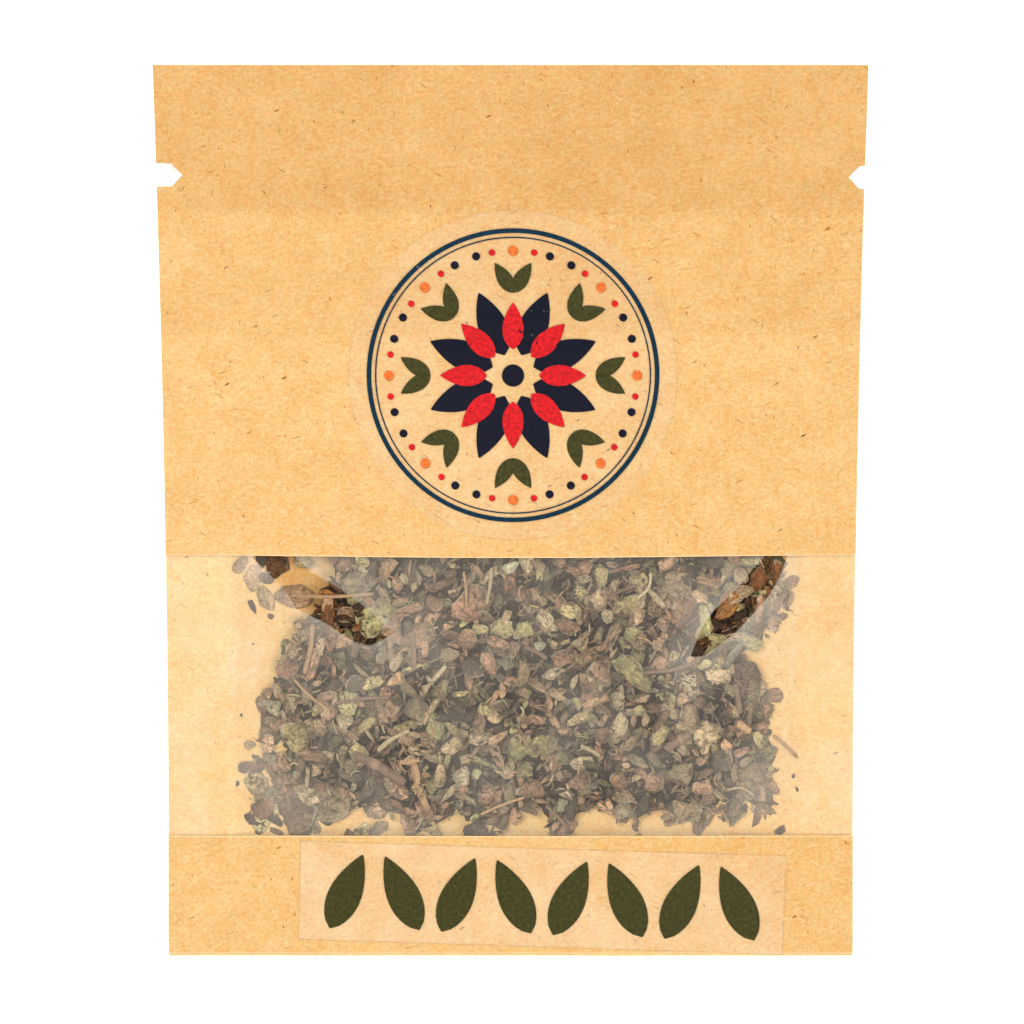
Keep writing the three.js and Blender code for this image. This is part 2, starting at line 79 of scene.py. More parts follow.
class SachetSizes(bpy.types.PropertyGroup):
    width: length("Width", "Across the top and bottom", (PANEL_HIGH.x - PANEL_LOW.x) / MM)
    height: length("Height", "From the bottom seal to the top", (PANEL_HIGH.y - PANEL_LOW.y) / MM)
    draw_in: length("Draw-in", "How far the filling pulls in each side edge", 0.43)
    front_shorter: length("Front shorter by", "Back panel seen below the front", 0.35)
    back_thick: length("Back panel", "Thickness of the back laminate", 0.2)
    film_thick: length("Film", "Thickness of the window film", 0.12)
    kraft_thick: length("Front kraft", "Thickness of the kraft strips", 0.15)
    sticker_thick: length("Sticker", "Thickness of the clear stickers", 0.1)
    seal_left: length("Left seal", "Width of the left seal", 6.3)
    seal_right: length("Right seal", "Width of the right seal", 4.9)
    seal_bottom: length("Bottom seal", "Width of the bottom seal", 5)
    seal_top: length("Top seal", "Width of the top seal", 9)
    window_from_bottom: length("Window from", "Bottom edge to the window", 12.7)
    window_to_top: length("Window to", "Top edge to the window", 48.5)
    belly: length("Belly", "Widest gap between the panels", 3.4)
    seal_lift: length("Seal lift", "Height of the seals over the surface", 1.7)


class SachetColours(bpy.types.PropertyGroup):
    kraft: colour("Kraft", "Outside of the kraft paper", "cea366")
    kraft_inside: colour("Kraft inside", "Kraft seen through the window", "d7b072")
    # Haze tints the painted glare on the window film.
    haze: colour("Haze", "Bloom on the clear film", "f8ecda")
    label: colour("Sticker haze", "Bloom on the clear stickers", "fff1d6")
    plastic: colour("Zip", "Press-to-close strip", "dcd8ce")
    olive: colour("Olive leaf", "Grey-green flakes", "827157")
    brown: colour("Brown leaf", "Brown and mauve flakes", "876953")
    green: colour("Green leaf", "Yellow-green flakes", "94885f")
    dark: colour("Dark leaf", "Darkest flakes", "554739")
    tan: colour("Tan leaf", "Pale brown flakes", "9b7e61")
    rust: colour("Rust leaf", "Reddish brown flakes", "7c5a40")
    amber: colour("Amber leaf", "Deep brown flakes under clear film", "84562c")
    cream: colour("Cream leaf", "Bleached flakes and torn rims", "a89d82")
    stem: colour("Stem", "Bits of tan stem", "b08b64")
    straw: colour("Straw", "Bits of pale stem", "b9a57c")
    bark: colour("Bark", "Bits of brown stem", "7e6450")
    ring: colour("Blue ink", "Rings", "042232")
    navy: colour("Navy ink", "Outer petals", "0a0c1a")
    red: colour("Red ink", "Inner petals", "a9141a")
    leaf_ink: colour("Green ink", "Leaves in print", "323114")
    orange: colour("Orange ink", "Dots in print", "b95c26")


class SachetHerb(bpy.types.PropertyGroup):
    top_flakes: amount("Top flakes", "Tries at a flake against the film", 1900)
    under_flakes: amount("Lower flakes", "Tries at a flake under those", 2200)
    dust: amount("Crumbs", "Tries at a small bit on or between the flakes", 2600)
    flake_radius: length("Flake radius", "Middling radius of a flake", 0.7)
    flake_thick: length("Flake thickness", "Thickness of a leaf flake", 0.07)
    seed: IntProperty(name="Seed", description="Seed of the random draws", default=11)


class SachetStage(bpy.types.PropertyGroup):
    floor: colour("Floor", "The surface that the sachet lies on", "ffffff")
    sky: FloatProperty(name="Room light", description="Even light from all around",
                       default=0.66, min=0)
    key: FloatProperty(name="Key light", description="Power of the large soft light, in watts",
                       default=4.7, min=0)
    tilt: FloatProperty(name="Camera tilt", description="Lean of the view from straight down",
                        default=math.radians(7.5), subtype="ANGLE")
    distance: FloatProperty(name="Camera distance", description="From the aim to the camera",
                            default=0.258, unit="LENGTH")
    lens: FloatProperty(name="Lens", description="Focal length in millimetres", default=90.6)


# ---------------------------------------------------------------- shape of the pouch

ZIP_BOTTOM, ZIP_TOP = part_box("zip_groove_strip")[0].y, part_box("zip_groove_strip")[1].y
ZIP_MARGIN = 0.8 * MM  # level part above and below the zip
ZIP_GAP = 1.5 * MM  # between the panels at the zip
ZIP_END_RAMP = 2 * MM  # from a side seal to that gap
GAP_FLAT = 3 * MM  # gap from which the back lies flat on the surface
GAP_FULLNESS = 2.3  # how square the belly is across
LIFT_EASE = 1.4  # how late the back rises towards the seals
BELLY_RISE = 21 * MM  # from the bottom seal to the full belly
BELLY_TOP = -2 * MM  # where the belly starts to level off towards the zip
FREE_GAP = 0.8 * MM  # gap from which the front has its full relief
SEAL_RELIEF = 0.09 * MM  # height of the waves in the seals
PAPER_RELIEF = 0.05 * MM  # the same in the whole front
FILM_RELIEF = 0.02 * MM  # the same for the finer waves of the film in the window
RELIEF_ROOM = 0.05 * MM  # how far the front is lowered to make room for its relief
RIDGE_WIDTH = 0.4 * MM  # half the width of the ridges over the zip
WINDOW_FADE = 1.5 * MM  # from the window's edge to the film's full relief
HAIR = 0.01 * MM  # between laminated sheets, so that their faces don't coincide
EDGE_STRIP = 0.15 * MM  # narrow faces along a panel's edges
NOTCH_HALF = 1.1 * MM
NOTCH_STOPS = (-NOTCH_HALF - 2 * HAIR, -NOTCH_HALF, 0, NOTCH_HALF, NOTCH_HALF + 2 * HAIR)
NOTCHES = {  # height, shoulder and depth of the tear notch on each side
    -1: (34.3 * MM, 1.5 * MM, 2.56 * MM),
    1: (34.06 * MM, 0.5 * MM, 1.6 * MM),
}
# Ridges that the zip presses into the front: where along Y, and height in millimetres.
ZIP_RIDGES = ((ZIP_BOTTOM, 0.09), (ZIP_TOP, 0.11), (21.1 * MM, 0.07), (22.6 * MM, 0.07))
# Steps in the kraft's lightness up the sachet, in millimetres, with their size. The kraft is darker over
# the zip's band and over the top band.
TONE_STEPS = ((18, 18.6, -0.045), (25.2, 25.7, 0.012), (30, 31.2, -0.075))
# Fine creases in the window film, in millimetres: both ends, height and width.
CREASES = [
    ((29.5, -7.2), (28, -11), 0.05, 0.35), ((28, -11), (25, -14), 0.05, 0.3),
    ((27.3, -8.5), (26, -11.6), 0.05, 0.25), ((-27.5, -7), (-25, -11), -0.05, 0.6),
    ((28.4, -13), (27.8, -22), 0.05, 0.4), ((-28, -12.6), (-27.8, -17.6), 0.05, 0.35),
    ((-26.3, -12), (-26, -17), 0.05, 0.3), ((-25.2, -13.5), (-25.2, -16.5), 0.04, 0.3),
    ((-28.3, -9.5), (-26.9, -10), 0.06, 0.3), ((-27.3, -15.9), (-25.7, -15.1), 0.06, 0.3),
    ((-12.6, -10.4), (-15.7, -12.2), 0.06, 0.4), ((18.1, -13.7), (24.6, -9.2), -0.06, 0.4),
]


def smoothstep(value, low, high):
    share = np.clip((value - low) / (high - low), 0, 1)
    return share * share * (3 - 2 * share)


def waves(seed, count, longest, shortest):
    """A sum of smooth waves in all directions, from about -1 to 1."""
    rng = np.random.default_rng(seed)
    turn = rng.uniform(0, math.tau, count)
    number = math.tau / np.geomspace(longest, shortest, count)
    shift = rng.uniform(0, math.tau, count)

    def height(x, y):
        total = np.zeros(np.shape(x))
        for angle, k, phase in zip(turn, number, shift):
            total += np.sin(k * (x * math.cos(angle) + y * math.sin(angle)) + phase)
        return total / (count ** 0.5 * 1.6)
    return height


paper_waves = waves(3, 9, 34 * MM, 7 * MM)
film_waves = waves(5, 12, 9 * MM, 1.6 * MM)
seal_waves = waves(8, 7, 60 * MM, 14 * MM)
veil_waves = waves(13, 9, 26 * MM, 5 * MM)
bed_lumps = waves(21, 16, 3 * MM, 0.6 * MM)


def distance_to_line(x, y, start, end):
    """Distance from points to a line between two ends, all in the same unit."""
    (x0, y0), (x1, y1) = start, end
    along = ((x - x0) * (x1 - x0) + (y - y0) * (y1 - y0)) / ((x1 - x0) ** 2 + (y1 - y0) ** 2)
    along = np.clip(along, 0, 1)
    return np.hypot(x - x0 - along * (x1 - x0), y - y0 - along * (y1 - y0))


def kraft_tone_and_highlight(x, y):
    """Lightness of the kraft, with a painted highlight along each edge of the zip, where its ridges catch
    the light.
    """
    tone = 1.03 - 0.1 * x
    for low, high, change in TONE_STEPS:
        tone = tone + change * smoothstep(y, low * MM, high * MM)
    # Painted highlight: a pale line along each edge of the zip, where its ridges catch the light.
    for line in (ZIP_BOTTOM, ZIP_TOP):
        tone = tone + 0.03 * np.exp(-((y - line) / (0.35 * MM)) ** 2)
    return tone


class Pouch:
    """Heights of the sachet's layers over the surface that it lies on."""

    def __init__(self, sizes):
        self.sizes = sizes
        self.half_width = sizes.width / 2
        self.half_height = sizes.height / 2
        self.left = -self.half_width + sizes.seal_left
        self.right = self.half_width - sizes.seal_right
        self.bottom = -self.half_height + sizes.seal_bottom
        self.top = self.half_height - sizes.seal_top
        self.window_bottom = -self.half_height + sizes.window_from_bottom
        self.window_top = self.half_height - sizes.window_to_top
        self.front_bottom = -self.half_height + sizes.front_shorter

    def narrowing(self, y):
        """Width at y, as a share of the width at the ends."""
        return 1 - self.sizes.draw_in * (1 - (y / self.half_height) ** 2) / self.half_width

    def gap(self, x, y):
        """Gap between the panels: a belly in the lower part, level over the zip."""
        column = x / self.narrowing(y)
        middle, half = (self.left + self.right) / 2, (self.right - self.left) / 2
        side = np.clip(np.abs((column - middle) / half), 0, 1)
        belly = self.sizes.belly * (1 - side ** GAP_FULLNESS)
        belly = belly * smoothstep(y, self.bottom, self.bottom + BELLY_RISE)
        from_seal = np.minimum(column - self.left, self.right - column)
        level = ZIP_GAP * np.clip(from_seal / ZIP_END_RAMP, 0, 1)
        level = level * (1 - smoothstep(y, ZIP_TOP + ZIP_MARGIN, self.top))
        blend = smoothstep(y, BELLY_TOP, ZIP_BOTTOM - ZIP_MARGIN)
        return belly + (level - belly) * blend

    def back_outer(self, x, y):
        filled = np.clip(self.gap(x, y) / GAP_FLAT, 0, 1)
        loose = 1 - smoothstep(filled, 0, 0.4)
        lift = self.sizes.seal_lift * (1 - filled) ** LIFT_EASE
        return lift + SEAL_RELIEF * seal_waves(x, y) * loose

    def back_inner(self, x, y):
        return self.back_outer(x, y) + self.sizes.back_thick

    def film_inner(self, x, y):
        gap = self.gap(x, y)
        free = smoothstep(gap, 0, FREE_GAP)
        relief = PAPER_RELIEF * paper_waves(x, y) * free
        for line, height in ZIP_RIDGES:
            near = np.exp(-((y - line) / RIDGE_WIDTH) ** 2)
            relief = relief + height * MM * near * free
        return self.back_inner(x, y) + gap + relief - RELIEF_ROOM * free + HAIR

    def film_crumple(self, x, y):
        """Fine relief of the bare film in the window."""
        free = smoothstep(self.gap(x, y), 0, FREE_GAP)
        bare = smoothstep(y, self.window_bottom, self.window_bottom + WINDOW_FADE)
        bare = bare * (1 - smoothstep(y, self.window_top - WINDOW_FADE, self.window_top))
        relief = FILM_RELIEF * film_waves(x, y) * free
        for start, end, height, width in CREASES:
            ends = [np.array(p) * MM for p in (start, end)]
            near = distance_to_line(x, y, *ends) / (width * MM / 2)
            relief = relief + height * MM * np.exp(-near ** 2)
        return relief * bare

    def film_outer(self, x, y):
        return self.film_inner(x, y) + self.sizes.film_thick - 2 * HAIR

    def bare_inner(self, x, y):
        return self.film_inner(x, y) + self.film_crumple(x, y)

    def bare_outer(self, x, y):
        return self.film_outer(x, y) + self.film_crumple(x, y)

    def kraft_inner(self, x, y):
        return self.film_outer(x, y) + HAIR

    def kraft_outer(self, x, y):
        return self.film_inner(x, y) + self.sizes.film_thick + self.sizes.kraft_thick

    def sticker_outer(self, x, y):
        return self.kraft_outer(x, y) + self.sizes.sticker_thick

    def side_edge(self, side, y):
        """Side edge at y, with its tear notch cut in."""
        height, shoulder, depth = NOTCHES[side]
        off = np.abs(y - height)
        cut = np.where(off <= NOTCH_HALF, depth + (shoulder - depth) * off / NOTCH_HALF, 0)
        return side * (self.half_width * self.narrowing(y) - cut)

    def panel_net(self, rows, step):
        """Points of a panel over rows of y, split alike where it narrows or is notched."""
        seals = [-self.half_width, -self.half_width + EDGE_STRIP, self.left,
                 self.right, self.half_width - EDGE_STRIP, self.half_width]
        column, y = np.meshgrid(spaced(seals, step), rows)
        narrow = self.narrowing(y)
        x = column * narrow
        for side, inner in ((-1, self.left), (1, self.right)):
            share = np.clip((column - inner) / (side * self.half_width - inner), 0, 1)
            x = x + share * (self.side_edge(side, y) - side * self.half_width * narrow)
        return x, y

    def rows(self, low, high, step):
        """Heights of a panel's rows, with close rows at its edges and round the notches."""
        stops = {low, low + EDGE_STRIP, high - EDGE_STRIP, high}
        for height, _, _ in NOTCHES.values():
            stops.update(height + stop for stop in NOTCH_STOPS if low < height + stop < high)
        for stop in (self.bottom, self.window_bottom, self.window_top, self.top):
            if low + EDGE_STRIP < stop < high - EDGE_STRIP:
                stops.add(stop)
        return spaced(sorted(stops), step)


# ---------------------------------------------------------------- meshes

def spaced(stops, step):
    """Numbers from the first stop to the last, through them all, about a step apart."""
    runs = [np.linspace(a, b, max(1, round((b - a) / step)) + 1)[:-1]
            for a, b in zip(stops, stops[1:])]
    return np.append(np.concatenate(runs), stops[-1])


def net_rim(rows, columns):
    """Numbers of the points round a net's edge, to the left all round."""
    number = np.arange(rows * columns).reshape(rows, columns)
    return np.concatenate([number[0, :-1], number[:-1, -1], number[-1, :0:-1], number[:0:-1, 0]])


def slab(x, y, lower, upper):
    """Points and faces of a closed sheet over a net of rows and columns. The upper points
    come first, then the lower ones, and so do the faces, with the edge last."""
    rows, columns = x.shape
    layer = rows * columns
    points = np.concatenate([np.stack([x, y, z], -1).reshape(-1, 3) for z in (upper, lower)])
    cell = (np.arange(rows - 1)[:, None] * columns + np.arange(columns - 1)).ravel()
    over = np.stack([cell, cell + 1, cell + columns + 1, cell + columns], 1)
    rim = net_rim(rows, columns)
    after = np.roll(rim, -1)
    walls = np.stack([rim + layer, after + layer, after, rim], 1)
    return points, np.concatenate([over, over[:, ::-1] + layer, walls])


def disc_net(lines):
    """A net that fills the unit circle, from its lines over a square."""
    u, v = np.meshgrid(lines, lines)
    return u * np.sqrt(1 - v * v / 2), v * np.sqrt(1 - u * u / 2)


def write_attribute(piece, name, values, kind="FLOAT"):
    """Values for the points of a piece, in a new attribute or in the one of that name."""
    attributes = piece.data.attributes
    target = attributes.get(name) or attributes.new(name, kind, "POINT")
    key = "value" if kind == "FLOAT" else "vector"
    target.data.foreach_set(key, np.ascontiguousarray(values, np.float32).ravel())


def both_sides(values):
    """Values of a net's points, for the upper and the lower side of its slab."""
    return np.tile(np.ravel(values), 2)


def new_piece(name, points, faces, material, replaced=(), crisp=40):
    """A piece that moves with the sachet, smooth but for edges sharper than an angle."""
    mesh = bpy.data.meshes.new(name)
    mesh.from_pydata(np.asarray(points).tolist(), [], [list(face) for face in faces])
    mesh.shade_smooth()
    mesh.set_sharp_from_angle(angle=math.radians(crisp))
    mesh.materials.append(material)
    piece = bpy.data.objects.new(name, mesh)
    bpy.context.scene.collection.objects.link(piece)
    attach(piece, "root")
    if replaced:
        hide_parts(*replaced)
    return piece


def new_sheet(name, net, lower, upper, material, replaced=(), under=None):
    """A thin closed sheet between two surfaces, with its cut edge marked. Its upper side has
    the first material, and the rest of it has the second one where there is one."""
    x, y = net
    points, faces = slab(x, y, lower(x, y), upper(x, y))
    piece = new_piece(name, points, faces, material, replaced)
    cut = np.zeros(x.shape)
    cut[:, [0, -1]] = 0.5
    cut[[0, -1]] = 1
    write_attribute(piece, "cut", both_sides(cut))
    write_attribute(piece, "tone_and_painted_light", both_sides(kraft_tone_and_highlight(x, y)))
    write_attribute(piece, "veil", np.ones(2 * x.size))
    if under:
        piece.data.materials.append(under)
        upper_faces = (x.shape[0] - 1) * (x.shape[1] - 1)
        lower_side = np.arange(len(faces)) >= upper_faces
        piece.data.polygons.foreach_set("material_index", lower_side.astype(np.int32))
    return piece


def mark_rim(piece, rows, columns):
    """Marks a sheet's cut edge alike all round."""
    cut = np.zeros(rows * columns)
    cut[net_rim(rows, columns)] = 1
    write_attribute(piece, "cut", both_sides(cut))


# ---------------------------------------------------------------- nodes

def add_node(tree, kind, sockets=None, **options):
    """A node with its options, and its sockets linked or set."""
    made = tree.nodes.new(kind)
    for key, value in options.items():
        setattr(made, key, value)
    for key, value in (sockets or {}).items():
        if isinstance(value, bpy.types.NodeSocket):
            tree.links.new(value, made.inputs[key])
        else:
            made.inputs[key].default_value = value
    return made


def sums(tree, operation, first, second=0.0, clamp=False):
    """The result of one sum on one or two values."""
    sockets = {0: first, 1: second}
    made = add_node(tree, "ShaderNodeMath", sockets, operation=operation, use_clamp=clamp)
    return made.outputs[0]


def product(tree, value, *others):
    for other in others:
        value = sums(tree, "MULTIPLY", value, other)
    return value


def weighted(tree, *parts):
    """The sum of values, each times its weight."""
    total = 0.0
    for value, weight in parts:
        total = sums(tree, "ADD", product(tree, value, weight), total)
    return total


def ramp(tree, value, low, high, out_low=0.0, out_high=1.0):
    """Value spread from one range to another, and held at its ends."""
    sockets = {"Value": value, "From Min": low, "From Max": high,
               "To Min": out_low, "To Max": out_high}
    return add_node(tree, "ShaderNodeMapRange", sockets).outputs[0]


def blend_colours(tree, share, first, second, way="MIX"):
    sockets = {0: share, 6: first, 7: second}
    made = add_node(tree, "ShaderNodeMix", sockets, data_type="RGBA", blend_type=way)
    return made.outputs[2]


def tinted(tree, base, *factors):
    """A colour times factors of red, green and blue."""
    return blend_colours(tree, 1.0, base, (*factors, 1), "MULTIPLY")


def shaded(tree, base, red, green, blue):
    """A colour times values for red, green and blue that come from other nodes."""
    shares = add_node(tree, "ShaderNodeCombineColor", {0: red, 1: green, 2: blue})
    return blend_colours(tree, 1.0, base, shares.outputs[0], "MULTIPLY")


def stretched(tree, vector, size, turn):
    """Coordinates for a pattern that has a size along and across a turn."""
    sockets = {"Vector": vector, "Rotation": (0, 0, turn), "Scale": (*size, 1)}
    return add_node(tree, "ShaderNodeMapping", sockets, vector_type="TEXTURE").outputs[0]


def noise_at(tree, vector, scale, detail=2.0, roughness=0.5, stretch=None, turn=0.0):
    """Noise from 0 to 1 about 0.5. A stretch is the pattern's size along and across a turn."""
    if stretch:
        vector = stretched(tree, vector, stretch, turn)
    sockets = {"Vector": vector, "Scale": scale, "Detail": detail, "Roughness": roughness}
    return add_node(tree, "ShaderNodeTexNoise", sockets, noise_dimensions="2D").outputs["Fac"]


def attribute(tree, name, output="Fac"):
    return add_node(tree, "ShaderNodeAttribute", attribute_name=name).outputs[output]


def new_group(name, takes, gives):
    """A shader node group, with its named inputs and outputs."""
    group = bpy.data.node_groups.new(name, "ShaderNodeTree")
    kinds = {"colour": "NodeSocketColor", "number": "NodeSocketFloat", "vector": "NodeSocketVector"}
    for way, sockets in (("INPUT", takes), ("OUTPUT", gives)):
        for socket, kind in sockets.items():
            group.interface.new_socket(socket, in_out=way, socket_type=kinds[kind])
    taken = add_node(group, "NodeGroupInput").outputs
    given = add_node(group, "NodeGroupOutput").inputs
    return group, taken, given


def use_group(tree, name, make, sockets):
    """Outputs of a node group, which is made at its first use."""
    group = bpy.data.node_groups.get(name) or make()
    return add_node(tree, "ShaderNodeGroup", sockets, node_tree=group).outputs


def rgba(colour_value):
    return (*colour_value, 1)


# Strands in the kraft: turn and length in millimetres.
STRANDS = ((0.3, 1.7), (1.4, 1.2), (2.6, 1.9))
# Bark specks in it: turn, cell size in millimetres, radius as a share of it and rarity.
SPECKS = ((0.5, 6, 0.03, 0.86), (2, 4, 0.03, 0.88), (1.2, 2.4, 0.04, 0.93))
SPECK_COLOUR = (0.17, 0.06, 0.01, 1)


def kraft_group():
    """Kraft paper: cloudy mottling, fine fibres both light and dark, and small bark specks."""
    group, taken, given = new_group(
        "Kraft fibres",
        {"Vector": "vector", "Colour": "colour", "Mottling": "number", "Cut": "number"},
        {"Colour": "colour", "Height": "number"})
    where, paper, mottling = taken["Vector"], taken["Colour"], taken["Mottling"]
    drift = noise_at(group, where, 45, 1, 0.5)
    cloud = noise_at(group, where, 260, 2, 0.6)
    grain = noise_at(group, where, 1, 3, 0.7, stretch=(0.6 * MM, 0.34 * MM), turn=0.1)
    dust = noise_at(group, where, 3600, 2, 0.7)
    tone = weighted(group, (grain, 0.4), (cloud, 0.18), (dust, 0.32), (drift, 0.1))
    tone = ramp(group, tone, 0.37, 0.63)
    deep = tinted(group, paper, 0.86, 0.76, 0.6)
    pale = tinted(group, paper, 1.07, 1.15, 1.32)
    result = blend_colours(group, tone, deep, pale)
    hue = noise_at(group, where, 800, 3, 0.7)
    ruddy = tinted(group, result, 1.02, 0.96, 0.9)
    sandy = tinted(group, result, 0.98, 1.04, 1.1)
    result = blend_colours(group, ramp(group, hue, 0.38, 0.62), ruddy, sandy)
    result = blend_colours(group, mottling, paper, result)
    light = dark = 0.0
    for turn, size in STRANDS:
        strand = noise_at(group, where, 1, 0, 0.5, stretch=(size * MM, size * MM / 8), turn=turn)
        light = sums(group, "MAXIMUM", ramp(group, strand, 0.8, 0.88), light)
        dark = sums(group, "MAXIMUM", ramp(group, strand, 0.13, 0.07), dark)
    pale_fibre = tinted(group, paper, 1.08, 1.2, 1.5)
    dark_fibre = tinted(group, paper, 0.5, 0.36, 0.22)
    result = blend_colours(group, product(group, light, mottling, 0.75), result, pale_fibre)
    result = blend_colours(group, product(group, dark, mottling, 0.7), result, dark_fibre)
    for turn, size, radius, rare in SPECKS:
        sockets = {"Vector": stretched(group, where, (size * MM, size * MM / 2.8), turn),
                   "Scale": 1.0, "Randomness": 1.0}
        cell = add_node(group, "ShaderNodeTexVoronoi", sockets, voronoi_dimensions="2D").outputs
        chance, depth, _ = add_node(group, "ShaderNodeSeparateColor", {0: cell["Color"]}).outputs
        spot = ramp(group, cell["Distance"], radius, radius * 1.9, 1, 0)
        chosen = sums(group, "GREATER_THAN", chance, rare)
        spot = product(group, spot, chosen, depth, mottling)
        result = blend_colours(group, spot, result, SPECK_COLOUR)
    # The cut edge is paler: partly its torn fibres, partly a painted highlight where the edge catches the
    # light.
    torn = ramp(group, weighted(group, (taken["Cut"], 1), (grain, 0.6)), 0.55, 0.95)
    result = blend_colours(group, torn, result, tinted(group, paper, 1.2, 1.4, 2.0))
    group.links.new(result, given["Colour"])
    group.links.new(tone, given["Height"])
    return group


def leaf_group():
    """Dried leaf: blotches of its own hue, a network of veins and pale torn rims that are partly painted
    highlight.
    """
    group, taken, given = new_group(
        "Dried leaf",
        {"Colour": "colour", "Rim": "colour", "Leaf": "vector", "Tone": "number"},
        {"Colour": "colour", "Height": "number"})
    base, leaf, tone = taken["Colour"], taken["Leaf"], taken["Tone"]
    along, across, key = add_node(group, "ShaderNodeSeparateXYZ", {0: leaf}).outputs
    apart = add_node(group, "ShaderNodeCombineXYZ", {0: key, 1: key}).outputs[0]
    own = add_node(group, "ShaderNodeVectorMath", {0: leaf, 1: apart}, operation="ADD").outputs[0]
    blotch = noise_at(group, own, 1.5, 3, 0.6)
    fine = noise_at(group, own, 3.6, 4, 0.8)
    # Each flake leans to a warmer or a cooler hue.
    hue = sums(group, "FRACT", product(group, key, 3.7))
    warm = tinted(group, base, 1.08, 0.97, 0.88)
    cool = tinted(group, base, 0.94, 0.99, 0.94)
    lean = sums(group, "ADD", hue, weighted(group, (blotch, 1.4), (1.0, -0.7)), True)
    result = blend_colours(group, lean, cool, warm)
    # Side veins leave the midrib at a slant.
    off_midrib = sums(group, "ABSOLUTE", across)
    slant = weighted(group, (along, 11), (off_midrib, -9), (blotch, 7))
    midrib = ramp(group, off_midrib, 0.02, 0.07, 1, 0)
    veins = product(group, ramp(group, sums(group, "SINE", slant), 0.7, 1), 0.4)
    veins = sums(group, "MAXIMUM", veins, midrib)
    crumple = ramp(group, fine, 0.34, 0.66, 0.12, 1)
    light = weighted(group, (blotch, 1.2), (crumple, 1.7), (1.0, 0.03))
    light = product(group, light, tone)
    result = shaded(group, result, light, light, light)
    result = blend_colours(group, product(group, veins, 0.16), result, taken["Rim"])
    # The pale rim is ragged, and wider on one side: partly the torn edge's own colour, partly a painted
    # highlight where the curled rim catches the light.
    flat = add_node(group, "ShaderNodeCombineXYZ", {0: along, 1: across}).outputs[0]
    reach = add_node(group, "ShaderNodeVectorMath", {0: flat}, operation="LENGTH").outputs["Value"]
    wide_side = weighted(group, (product(group, along, sums(group, "SINE", key)), 0.3),
                         (product(group, across, sums(group, "COSINE", key)), 0.3))
    ragged = weighted(group, (reach, 1), (fine, 0.16), (blotch, 0.2), (wide_side, 1))
    rim = product(group, ramp(group, ragged, 1.2, 1.28), ramp(group, tone, 0.1, 0.7), 0.75)
    result = blend_colours(group, rim, result, taken["Rim"])
    group.links.new(result, given["Colour"])
    group.links.new(weighted(group, (fine, 0.7), (blotch, 0.5), (veins, 0.4)), given["Height"])
    return group


def stem_group():
    """Dried stem: ridges along it, and darker and paler stretches."""
    group, taken, given = new_group(
        "Dried stem", {"Colour": "colour", "Along": "vector", "Tone": "number"},
        {"Colour": "colour", "Height": "number"})
    ridges = noise_at(group, taken["Along"], 1, 3, 0.6, stretch=(0.9, 0.16))
    patches = noise_at(group, taken["Along"], 1, 2, 0.5, stretch=(0.7, 0.9))
    light = weighted(group, (ridges, 0.9), (patches, 0.8), (taken["Tone"], 1.1), (1.0, -0.4))
    group.links.new(shaded(group, taken["Colour"], light, light, light), given["Colour"])
    group.links.new(ridges, given["Height"])
    return group


def haze_and_glare_group():
    """Haze on clear plastic, which on the window film is painted glare: a cloud of painted reflected
    light, fine scuffs and its uneven gloss.
    """
    group, taken, given = new_group(
        "Film bloom", {"Vector": "vector", "Amount": "number"},
        {"Haze": "number", "Roughness": "number"})
    cloud = noise_at(group, taken["Vector"], 130, 2, 0.5)
    scuff = noise_at(group, taken["Vector"], 1, 2, 0.5, stretch=(2.4 * MM, 0.4 * MM), turn=0.6)
    share = ramp(group, cloud, 0.35, 0.65, 0.65, 1.35)
    haze = sums(group, "MULTIPLY", share, taken["Amount"], True)
    group.links.new(haze, given["Haze"])
    group.links.new(weighted(group, (scuff, 0.12), (1.0, 0.05)), given["Roughness"])
    return group


# ---------------------------------------------------------------- materials

def new_material(name):
    """An empty node material and its surface output."""
    material = bpy.data.materials.new(name)
    material.use_nodes = True
    tree = material.node_tree
    tree.nodes.clear()
    return material, tree, add_node(tree, "ShaderNodeOutputMaterial").inputs["Surface"]


def end_in_shader(tree, surface, sockets):
    """Ends a material in one shader with these sockets."""
    shader = add_node(tree, "ShaderNodeBsdfPrincipled", sockets)
    tree.links.new(shader.outputs[0], surface)


def place(tree):
    return add_node(tree, "ShaderNodeTexCoord").outputs["Object"]


def bump(tree, height, distance, strength=1.0):
    sockets = {"Height": height, "Distance": distance, "Strength": strength}
    return add_node(tree, "ShaderNodeBump", sockets).outputs[0]


# How fast red, green and blue fall where the kraft is darker, which makes it more orange.
DARKER_POWERS = (1.0, 1.6, 2.4)
# Painted shade: a dark line along the cut edges of the clear sheets.
CUT_EDGE_SHADE = (0.2, 0.1, 0.04, 1)  # colour of a cut edge of the clear sheets


def kraft_material(name, tint, mottling, gloss=0.0):
    material, tree, surface = new_material(name)
    shade = attribute(tree, "tone_and_painted_light")
    shares = [sums(tree, "POWER", shade, power) for power in DARKER_POWERS]
    fibres = use_group(tree, "Kraft fibres", kraft_group, {
        "Vector": place(tree), "Colour": shaded(tree, rgba(tint), *shares),
        "Mottling": mottling, "Cut": attribute(tree, "cut")})
    end_in_shader(tree, surface, {
        "Base Color": fibres["Colour"], "Roughness": 0.78, "Specular IOR Level": 0.3,
        "Coat Weight": gloss, "Coat Roughness": 0.3,
        "Normal": bump(tree, fibres["Height"], 0.03 * MM, 0.6)})
    return material


